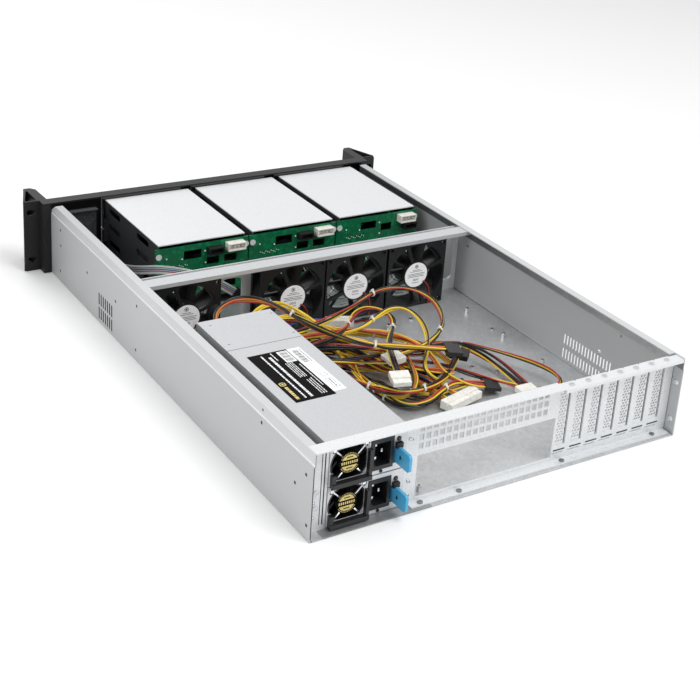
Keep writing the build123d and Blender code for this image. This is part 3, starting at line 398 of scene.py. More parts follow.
inlet_box = both(tree, inlet_box, within(tree, axes["Y"], 0.2972, 0.3246))
grips = within(tree, axes["Y"], 0.3247, ledge_end)
dark = either(tree, either(tree, fan_circle, inlet_box), grips)
colour = add_node(tree, "Mix", {"data_type": "RGBA", 0: dark, 6: wear.outputs[0],
                                7: linear("#1c1d1f")})
metallic = add_node(tree, "MapRange", {"To Min": 0.4, "To Max": 0.0, "Value": dark})
finish_tree(tree, {"Roughness": 0.38, "Base Color": colour.outputs[2],
                   "Metallic": metallic.outputs[0]})
dress(module_steel, "psu_module_lower", "psu_module_upper")

# Drive cages, front panel, rack ears and handles
# Steel under a fine black powder coat; the fine orange-peel grain keeps its gloss low. The
# cages are a shade greyer.
black_coat = speckled("black powder coat", "#101011", "#1b1b1d", 1400.0, 0.5, 0.0, 0.3, 0.3)
dress(black_coat, "front_panel", "rack_handle_right", "rack_handle_left")
cage_coat = speckled("dark grey cage coat", "#2a2b2d", "#3b3c3f", 1400.0, 0.42, 0.1, 0.2)
dress(cage_coat, "drive_cage_1", "drive_cage_2", "drive_cage_3")

# Drive trays, fans and small plugs
# Black moulded plastic with a fine matt texture.
black_plastic = speckled("black moulded plastic", "#111112", "#1f1f21", 1800.0, 0.36,
                         relief=0.15, shine=0.35)
black_starts = ("drive_tray", "tray_lever", "fan_frame", "fan_rotor", "psu_fan_rotor",
                "backplane_data", "black_cable", "power_button", "reset_button")
dress(black_plastic, *[name for name in nodes if name.startswith(black_starts)])

# Fan stickers
# Round white paper stickers on the hubs' rear faces, printed with a plain mark and lines.
fan_centres = (0.159, 0.030, -0.052, -0.135)
fan_middle = 0.042
hub_face = -0.0315

white_paper = speckled("coated white paper", "#f2f3f4", "#fdfdfd", 500.0, 0.4)
grey_ink = speckled("dark grey printing ink", "#303236", "#5b5e63", 900.0, 0.5)

paper = 0.00015
mark_height = 0.0105
print_half = 0.00028
print_rows = ((0.0062, 0.010), (0.0044, 0.016), (0.0014, 0.024), (-0.0004, 0.021),
              (-0.0022, 0.023), (-0.0098, 0.009))
for number, x in enumerate(fan_centres):
    bm = bmesh.new()
    z = fan_middle
    add_stud(bm, (x, hub_face, z), (0, paper, 0), 0.0155, 0, 48)
    add_ring(bm, (x, hub_face + paper, z + mark_height), (0, 1, 0), 0.0021, 0.0003, 1, 20)
    add_stud(bm, (x, hub_face + 0.0001, z + mark_height), (0, paper, 0), 0.0011, 1, 12)
    for height, width in print_rows:
        add_block(bm, (x - width / 2, hub_face + 0.0001, z + height - print_half),
                  (x + width / 2, hub_face + 0.00022, z + height + print_half), 1)
    for shift in (-0.0028, 0.0, 0.0028):
        add_ring(bm, (x + shift, hub_face + paper, z - 0.0062), (0, 1, 0), 0.0011, 0.00022, 1, 16)
    finish_piece("fan_sticker_" + str(number + 1), bm, [white_paper, grey_ink])

# Finger guards
# Chromed spring steel wire: four rings welded to a cross, on the cooling wall's front.
chrome_wire = speckled("chromed steel wire", "#d6d8da", "#f0f1f2", 400.0, 0.14, 1.0)
guard_plane = -0.0592
guard_wire = 0.0007


def spokes():
    """The four slanting ways of a guard's cross, from the upper +X one on."""
    angles = [math.radians(angle) for angle in (45, 135, 225, 315)]
    return [Vector((math.cos(angle), 0, math.sin(angle))) for angle in angles]


for number, x in enumerate(fan_centres):
    bm = bmesh.new()
    for radius in (0.011, 0.019, 0.027, 0.035):
        add_ring(bm, (x, guard_plane, fan_middle), (0, 1, 0), radius, guard_wire, 0, 48)
    middle = Vector((x, guard_plane + 0.0006, fan_middle))
    for way in spokes():
        add_bar(bm, middle + way * 0.009, middle + way * 0.0385, guard_wire, 0, 8)
    finish_piece("fan_guard_" + str(number + 1), bm, [chrome_wire], smooth=True)

# Backplanes
# Green solder mask over glass fibre board, glossy, with the copper lines showing faintly.
green_board, tree = new_material("green solder mask")
place = add_node(tree, "TexCoord", {}).outputs["Object"]
copper = add_node(tree, "TexVoronoi", {"distance": "MANHATTAN", "Scale": 160.0, "Vector": place})
copper = add_node(tree, "ValToRGB", {"Fac": copper.outputs["Distance"]},
                  [(0.2, "#0d7a4b"), (0.8, "#0a5f3c")])
finish_tree(tree, {"Roughness": 0.25, "Base Color": copper.outputs[0]})
dress(green_board, "backplane_1", "backplane_2", "backplane_3")

# White sockets and plugs
# Natural nylon: milky, slightly yellow and a little translucent.
white_nylon = speckled("natural nylon", "#dcdad2", "#f3f1ea", 300.0, 0.35)
dress(white_nylon, "backplane_power_sockets", "white_cable_plugs")

# Release latches
# Light blue moulded plastic, smooth and a little glossy.
blue_plastic = speckled("light blue moulded plastic", "#3f9ccb", "#55afd9", 1500.0, 0.32)
dress(blue_plastic, "psu_latch_lower", "psu_latch_upper")

# Latch marks and clips
# A dark moulded arrow mark on each latch, and the black spring clip above it.
latch_side = 0.1221
for row, middle in module_middles.items():
    bm = bmesh.new()
    z = middle - 0.0062
    for y0, y1, low, high in ((0.3300, 0.3312, 0.0, 0.0036), (0.3312, 0.3326, 0.0012, 0.0024)):
        add_block(bm, (latch_side - 0.0001, y0, z + low), (latch_side + 0.0002, y1, z + high))
    finish_piece("latch_mark_" + row, bm, [black_plastic], body="latch_" + row)
    bm = bmesh.new()
    add_block(bm, (0.1168, module_face + 0.0001, middle + 0.0030),
              (0.1238, module_face + 0.0040, middle + 0.0085), 0, 0.0006)
    finish_piece("latch_clip_" + row, bm, [black_plastic], body="module_" + row)

# Module fan guards and hub stickers
# Chromed arms cross each fan to screws at its upper corners. The sticker is a black disc with
# a gold cap above and below and a row of gold dashes between them.
gold_ink = speckled("gold printing ink", "#c9b264", "#eadb96", 900.0, 0.5, 0.2)
black_paper = speckled("black label paper", "#020202", "#050505", 500.0, 0.7, shine=0.08)
guard_front = module_face + 0.0010
arm_lengths = (0.0225, 0.0225, 0.0185, 0.0185)
disc_radius = 0.0106
disc = 0.0002
cap_radius = 0.0082
cap_low = 0.0031
cap_step = 0.0006
dot_circle = 0.0094
dot_half = 0.0004
for row, middle in module_middles.items():
    bm = bmesh.new()
    centre = Vector((module_fan_x, guard_front, middle))
    for way, length in zip(spokes(), arm_lengths):
        add_bar(bm, centre + way * 0.0104, centre + way * length, 0.0009, 0, 8)
    for side in (-1, 1):
        corner = Vector((module_fan_x + side * 0.0163, module_face, middle + 0.0160))
        add_stud(bm, corner, (0, 0.0012, 0), 0.0030, 0, 20)
        add_stud(bm, corner + Vector((0, 0.0012, 0)), (0, 0.0007, 0), 0.0024, 0, 20, 0.0016)
    finish_piece("module_guard_" + row, bm, [chrome_wire], True, "module_" + row)
    bm = bmesh.new()
    add_stud(bm, (module_fan_x, module_face, middle), (0, disc, 0), disc_radius, 0, 40)
    front = module_face + disc
    for step in range(8):
        height = cap_low + (step + 0.5) * cap_step
        half = math.sqrt(cap_radius ** 2 - height ** 2)
        for z in (middle - height, middle + height):
            add_block(bm, (module_fan_x - half, front - 0.0001, z - cap_step / 2),
                      (module_fan_x + half, front + 0.0001, z + cap_step / 2), 1)
    for side in (-1, 1):
        z = middle + side * 0.0054
        add_block(bm, (module_fan_x - 0.0032, front, z - 0.0005),
                  (module_fan_x + 0.0032, front + 0.00015, z + 0.0005), 0)
    for step in range(8):
        x = module_fan_x - 0.0079 + step * 0.00215
        add_block(bm, (x - 0.0002, front - 0.0001, middle - 0.0013),
                  (x + 0.0011, front + 0.0001, middle + 0.0013), 1)
    for step in range(36):
        angle = step * math.tau / 36
        if abs(math.sin(angle)) > 0.35:
            x = module_fan_x + math.cos(angle) * dot_circle
            z = middle + math.sin(angle) * dot_circle
            add_block(bm, (x - dot_half, front - 0.0001, z - dot_half),
                      (x + dot_half, front + 0.0001, z + dot_half), 1)
    finish_piece("module_sticker_" + row, bm, [black_paper, gold_ink], body="module_" + row)

# Module lamps, inlet pins and inlet screws
# A lamp in a black ring beside each inlet, the bright tips of the inlet's three pins, and a
# small black screw under the inlet.
pin_tips = 0.3185
inlet_x = 0.13675
for row, middle in module_middles.items():
    bm = bmesh.new()
    lamp_z = middle + 0.0112
    add_stud(bm, (0.1198, module_face, lamp_z), (0, 0.0009, 0), 0.0024, 0, 24, 0.0020)
    add_stud(bm, (0.1198, module_face + 0.0008, lamp_z), (0, 0.0003, 0), 0.0010, 1)
    add_stud(bm, (0.1368, module_face, middle - 0.0176), (0, 0.0008, 0), 0.0016)
    finish_piece("module_lamp_" + row, bm, [black_plastic, grey_ink], body="module_" + row)
    bm = bmesh.new()
    for dx, dz in ((0.0035, -0.007), (0.0035, 0.007), (-0.003, 0.0)):
        x, z = inlet_x + dx, middle + dz
        add_block(bm, (x - 0.00105, pin_tips - 0.0030, z - 0.00185),
                  (x + 0.00105, pin_tips + 0.0001, z + 0.00185), 0, 0.0003)
    finish_piece("inlet_pins_" + row, bm, [chrome_wire], body="module_" + row)

# Power supply label
# A glossy black paper label with a barcode, rows of print and a gold mark, and a white strip
# with a second barcode and two boxes. The print is shown as plain dashes.
label_face = 0.084
label_gloss = label_face + 0.00015


def print_row(bm, x, start, end, thick, slot, seed):
    """A row of short printed dashes along Y."""
    y = start
    step = seed
    while y < end:
        length = 0.0011 + 0.0008 * (step * 7 % 4)
        add_block(bm, (x - thick / 2, y, label_gloss - 0.0001),
                  (x + thick / 2, min(y + length, end), label_gloss + 0.00005), slot)
        y += length + 0.0007
        step += 1


def barcode(bm, x0, x1, start, count, pitch, slot):
    """Bars across X, stacked along Y, of uneven widths."""
    for step in range(count):
        y = start + step * pitch
        bar = pitch * (0.35 + 0.12 * (step * 5 % 3))
        add_block(bm, (x0, y, label_gloss - 0.0001), (x1, y + bar, label_gloss + 0.00008), slot)


def outline_box(bm, x0, x1, y0, y1, line, slot):
    """A printed rectangle of four lines."""
    for low, high in (((x0, y0), (x1, y0 + line)), ((x0, y1 - line), (x1, y1)),
                      ((x0, y0), (x0 + line, y1)), ((x1 - line, y0), (x1, y1))):
        add_block(bm, (*low, label_gloss - 0.0001), (*high, label_gloss + 0.00005), slot)


bm = bmesh.new()
add_block(bm, (0.1385, 0.1475, label_face), (0.1805, 0.2450, label_gloss))
add_block(bm, (0.1245, 0.1485, label_face), (0.1385, 0.2400, label_gloss), 1)
add_block(bm, (0.1395, 0.1500, label_face), (0.1505, 0.1730, label_gloss + 0.00003), 1)
barcode(bm, 0.1408, 0.1492, 0.1515, 10, 0.0021, 2)
barcode(bm, 0.1292, 0.1352, 0.1530, 14, 0.0019, 2)
print_row(bm, 0.1270, 0.1530, 0.1790, 0.0010, 2, 3)
outline_box(bm, 0.1275, 0.1335, 0.2045, 0.2105, 0.0004, 2)
outline_box(bm, 0.1275, 0.1335, 0.2150, 0.2340, 0.0004, 2)
print_row(bm, 0.1305, 0.2170, 0.2320, 0.0012, 2, 1)
text_rows = [(0.1675, 0.1520, 0.2400, 0.0017), (0.1610, 0.1570, 0.2400, 0.0026),
             (0.1565, 0.1500, 0.1660, 0.0011),
             *[(0.1530 - 0.0022 * step, 0.1740, 0.2040, 0.0009) for step in range(4)],
             (0.1500, 0.2100, 0.2390, 0.0009), (0.1475, 0.2100, 0.2390, 0.0009),
             (0.1450, 0.2080, 0.2390, 0.0009), (0.1412, 0.1800, 0.2250, 0.0010)]
for step, (x, start, end, thick) in enumerate(text_rows):
    print_row(bm, x, start, end, thick, 1, step)
outline_box(bm, 0.1722, 0.1786, 0.2060, 0.2130, 0.0013, 3)
add_block(bm, (0.1744, 0.2084, label_face), (0.1764, 0.2106, label_gloss + 0.00005), 3)
print_row(bm, 0.1752, 0.2155, 0.2400, 0.0032, 3, 2)
finish_piece("psu_label", bm, [black_paper, white_paper, grey_ink, gold_ink])

# Power supply cover seam
# The front cover's edge laps over the rear one, with a low folded lip and a dark joint line. A
# screw and four dark rivet marks hold it.
bm = bmesh.new()
add_block(bm, (0.1100, 0.1268, label_face), (0.1910, 0.1284, label_face + 0.0003), 0, 0.0001)
add_block(bm, (0.1100, 0.1284, label_face), (0.1910, 0.1288, label_face + 0.00005), 1)
add_stud(bm, (0.1880, 0.1340, label_face), (0, 0, 0.0006), 0.0018, 0, 20, 0.0013)
for x, y in ((0.1818, 0.0714), (0.1836, 0.1164), (0.1130, 0.0700), (0.1135, 0.1180)):
    add_block(bm, (x - 0.0012, y - 0.0005, label_face),
              (x + 0.0012, y + 0.0005, label_face + 0.00006), 1)
finish_piece("psu_cover_seam", bm, [smooth_steel, grey_ink])

# Rear panel tabs
# Below each card slot a cut frees the cover's foot, drawn as a strip of painted shadow, and the
# ledge has a row of low embossed bars that stiffen it. A strip of painted shadow lies in the narrow
# gap beside each cover, and two thin upright lines of painted shadow stand near the supply's side.
panel_face = 0.3225
first_slot = -0.0712
slot_pitch = 0.02032
slot_x = [first_slot - slot_pitch * step for step in range(7)]
painted_shadow = speckled("shadow inside a cut", "#232425", "#2f3031", 500.0, 0.8)
bm = bmesh.new()
for x in slot_x:
    add_block(bm, (x - 0.0072, panel_face - 0.0001, 0.0118),
              (x + 0.0072, panel_face + 0.0001, 0.0133))
    add_block(bm, (x - 0.0064, panel_face - 0.0021, 0.0182),
              (x - 0.0048, panel_face - 0.0019, 0.0735))
    add_block(bm, (x - 0.0040, 0.3262, 0.0024), (x + 0.0075, 0.3280, 0.0029), 1, 0.0002)
for x, half in ((0.1969, 0.0004), (0.1938, 0.0006)):
    add_block(bm, (x - half, panel_face - 0.0001, 0.0060),
              (x + half, panel_face + 0.0001, 0.0800))
finish_piece("panel_tabs", bm, [painted_shadow, pale_steel])

# Panel rivets and floor bend highlights
# Domed rivets hold the power supply's cage to the rear panel. The bend between the floor and each
# side wall has a painted highlight: a thin bright strip of plated steel.
bm = bmesh.new()
for x, z in ((0.1068, 0.0695), (0.1058, 0.0262), (0.1056, 0.0113), (0.2035, 0.0300),
             (0.2035, 0.0150)):
    add_stud(bm, (x, panel_face, z), (0, 0.0010, 0), 0.0019, 0, 20, 0.0012)
finish_piece("panel_rivets", bm, [plated_steel], smooth=True)
bm = bmesh.new()
for side in (-1, 1):
    x = side * 0.2114
    add_block(bm, (x - 0.0004, -0.0290, sheet), (x + 0.0004, 0.3210, 0.0019))
finish_piece("floor_bend_highlights", bm, [plated_steel])

# Wall rivets' ends
# The holes of the side walls are filled by rivets, sunk below the face: painted shade darkens them
# on the supply's side, and on the other they are bare.
rivet_places = ((0.0300, 0.0650), (0.0310, 0.0460), (0.0280, 0.0130), (0.1130, 0.0455),
                (0.1950, 0.0450), (0.2520, 0.0640), (0.2500, 0.0120), (0.5310, 0.0700),
                (0.5950, 0.0440), (0.6130, 0.0620), (0.6180, 0.0140))
front_plane = -0.2895
bm = bmesh.new()
for side in (-1, 1):
    for y, z in rivet_places:
        add_stud(bm, (side * 0.2120, front_plane + y, z), (side * 0.0006, 0, 0), 0.0017,
                 0 if side > 0 else 1)
add_stud(bm, (0.2119, 0.2415, 0.0828), (0.00045, 0, 0), 0.0012)
finish_piece("wall_rivet_ends", bm, [painted_shadow, plated_steel])

# Standoff threads
# The threaded holes in the tops of the hexagon posts and pressed nuts, drawn as dark discs of
# painted shade.
post_top = 0.0077
nut_top = 0.0028
first_post = 0.083
board_columns = 0.15748
bm = bmesh.new()
for x in (first_post, first_post - board_columns):
    for y in (0.15456, 0.08217, 0.00978):
        add_stud(bm, (x, y, post_top - 0.0003), (0, 0, 0.00033), 0.0015)
for x, y in ((-0.112, -0.0015), (-0.185, 0.0595), (-0.108, 0.1275), (-0.127, 0.1485)):
    add_stud(bm, (x, y, nut_top - 0.0004), (0, 0, 0.00043), 0.0014)
finish_piece("standoff_threads", bm, [painted_shadow])

# Backplane print and washers
# White printed dots and lines on the boards, and the zinc washers under their screws.
board_back = -0.1293
board_right = [0.15125, 0.03425, -0.08275]
board_width = 0.1155
board_top = 0.080
washer_radius = 0.0036
ink = 0.0001
bm = bmesh.new()
for edge in board_right:
    for step in range(11):
        x = edge - 0.014 - step * 0.0024
        z = board_top - 0.0225 - 0.0011 * (step % 3)
        add_block(bm, (x - 0.0007, board_back, z), (x + 0.0004, board_back + ink, z + 0.0007))
    for step in range(9):
        x = edge - 0.043 - step * 0.0023
        z = board_top - 0.0330 - 0.0009 * (step * 3 % 4)
        add_block(bm, (x - 0.0008, board_back, z), (x + 0.0005, board_back + ink, z + 0.0007))
    for x, drop in ((0.0320, 0.0150), (0.0600, 0.0090), (0.0610, 0.0235), (0.0130, 0.0120)):
        add_stud(bm, (edge - x, board_back, board_top - drop), (0, ink, 0), 0.0009, 0, 12)
finish_piece("backplane_print", bm, [white_paper])
bm = bmesh.new()
for edge in board_right:
    for x in (washer_radius, board_width - washer_radius):
        for drop in (0.0085, 0.0595):
            add_stud(bm, (edge - x, board_back, board_top - drop), (0, 0.0004, 0),
                     washer_radius, 0, 24)
washer_steel = speckled("zinc washer", "#d4d6d8", "#f2f3f4", 500.0, 0.35, 0.3)
finish_piece("backplane_washers", bm, [washer_steel])

# Wiring harness
# Bundles of stranded copper wire in coloured PVC, 1.9 mm over the insulation, tied with
# white nylon straps. They leave the power supply's front and side and end in plugs.
wire_radius = 0.00092
golden_turn = 2.399
lead_twist = 0.9
tie_squeeze = 0.45
tie_reach = 0.03
wire_tones = {"yellow": "#edcb35", "black": "#0b0b0c", "red": "#ad2825", "orange": "#cc6a2c",
              "blue": "#2b4fa8", "green": "#3c8a45", "white": "#e4e2dc", "grey": "#c3c6c9"}
wire_materials = {}
for tone, code in wire_tones.items():
    wire_materials[tone], tree = new_material(tone + " PVC insulation")
    place = add_node(tree, "TexCoord", {}).outputs["Object"]
    tint = add_node(tree, "TexNoise", {"Scale": 60.0, "Vector": place}).outputs["Fac"]
    tint = add_node(tree, "MapRange", {"To Min": 0.8, "To Max": 1.0, "Value": tint}).outputs[0]
    colour = add_node(tree, "VectorMath", {"operation": "SCALE", 0: linear(code)[:3],
                                           "Scale": tint}).outputs[0]
    finish_tree(tree, {"Roughness": 0.34, "Base Color": colour})


def mesh_of_curve(kind, points, settings):
    """The mesh that a curve through or along some points gives."""
    curve = bpy.data.curves.new("route", "CURVE")
    curve.dimensions = "3D"
    for name, value in settings.items():
        setattr(curve, name, value)
    spline = curve.splines.new(kind)
    spline.points.add(len(points) - 1)
    for point, place in zip(spline.points, points):
        point.co = (*place, 1.0)
    if kind == "NURBS":
        spline.order_u = 3
        spline.use_endpoint_u = True
    holder = bpy.data.objects.new("route", curve)
    mesh = bpy.data.meshes.new_from_object(holder)
    bpy.data.objects.remove(holder)
    bpy.data.curves.remove(curve)
    return mesh


def smooth_line(points):
    """Points along the smooth line that a route's NURBS spline gives."""
    mesh = mesh_of_curve("NURBS", points, {"resolution_u": 10})
    line = [vertex.co.copy() for vertex in mesh.vertices]
    bpy.data.meshes.remove(mesh)
    return line


def frames_along(line, first=None):
    """A pair of sideways directions at each point that turn as little as possible."""
    ways = [(b - a).normalized() for a, b in zip(line, line[1:])]
    ways.append(ways[-1])
    side = first or ways[0].orthogonal().normalized()
    pairs = []
    for way in ways:
        side = (side - way * side.dot(way)).normalized()
        pairs.append((side.copy(), way.cross(side)))
    return pairs


def strand(line, pairs, radius, turn, twist, wander, phase, ties=()):
    """One wire's own line within a bundle, turning slowly and drawn in where it is tied."""
    made = []
    for step, (place, (side, up)) in enumerate(zip(line, pairs)):
        share = step / (len(line) - 1)
        angle = turn + twist * share * math.tau + wander * math.sin(share * 9 + phase)
        reach = radius * (1 + 0.35 * math.sin(share * 13 + phase))
        for tie in ties:
            reach *= 1 - tie_squeeze * math.exp(-((share - tie) / tie_reach) ** 2)
        made.append(place + (side * math.cos(angle) + up * math.sin(angle)) * reach)
    return made


def make_bundle(name, points, tones, spread, twist, ties=()):
    """A bundle of wires along a route, as one mesh with a slot for each colour."""
    line = smooth_line(points)
    pairs = frames_along(line)
    lines = []
    for i, tone in enumerate(tones):
        ring = spread if i else spread * 0.1
        if len(tones) > 8 and i % 3 == 0:
            ring = spread * 0.45
        lines.append(strand(line, pairs, ring, i * golden_turn, twist, 0.5, i * 1.7, ties))
    return join_wires(name, lines, tones, wire_radius), line


def join_wires(name, lines, tones, radius):
    """One object with a tube for each wire and a slot for each colour."""
    bm = bmesh.new()
    used = sorted(set(tones))
    for own, tone in zip(lines, tones):
        mesh = mesh_of_curve("POLY", own, {"bevel_depth": radius, "bevel_resolution": 2,
                                           "use_fill_caps": True})
        for polygon in mesh.polygons:
            polygon.material_index = used.index(tone)
            polygon.use_smooth = True
        bm.from_mesh(mesh)
        bpy.data.meshes.remove(mesh)
    mesh = bpy.data.meshes.new(name)
    bm.to_mesh(mesh)
    bm.free()
    for tone in used:
        mesh.materials.append(wire_materials[tone])
    piece = bpy.data.objects.new(name, mesh)
    scene.collection.objects.link(piece)
    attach(piece, "chassis")
    return piece


def make_tie(name, line, share, radius):
    """A nylon tie pulled round a bundle, with its square head and cut tail."""
    i = int(share * (len(line) - 1))
    way = (line[i + 1] - line[i - 1]).normalized()
    side = way.cross(Vector((0, 0, 1))).normalized()
    up = side.cross(way)
    bm = bmesh.new()
    for shift in (-0.0006, 0.0006):
        add_ring(bm, line[i] + way * shift, way, radius, 0.0006, 0, 24)
    turn = Matrix((side, way, up)).transposed().to_4x4()
    head = Matrix.Translation(line[i] + up * (radius + 0.0006)) @ turn
    tail = Matrix.Translation(line[i] + up * (radius + 0.0018) + side * 0.0006) @ turn
    add_cube(bm, head @ Matrix.Diagonal((0.0030, 0.0028, 0.0022, 1)), 0.0004)
    add_cube(bm, tail @ Matrix.Diagonal((0.0008, 0.0020, 0.0022, 1)))
    return finish_piece(name, bm, [white_nylon])


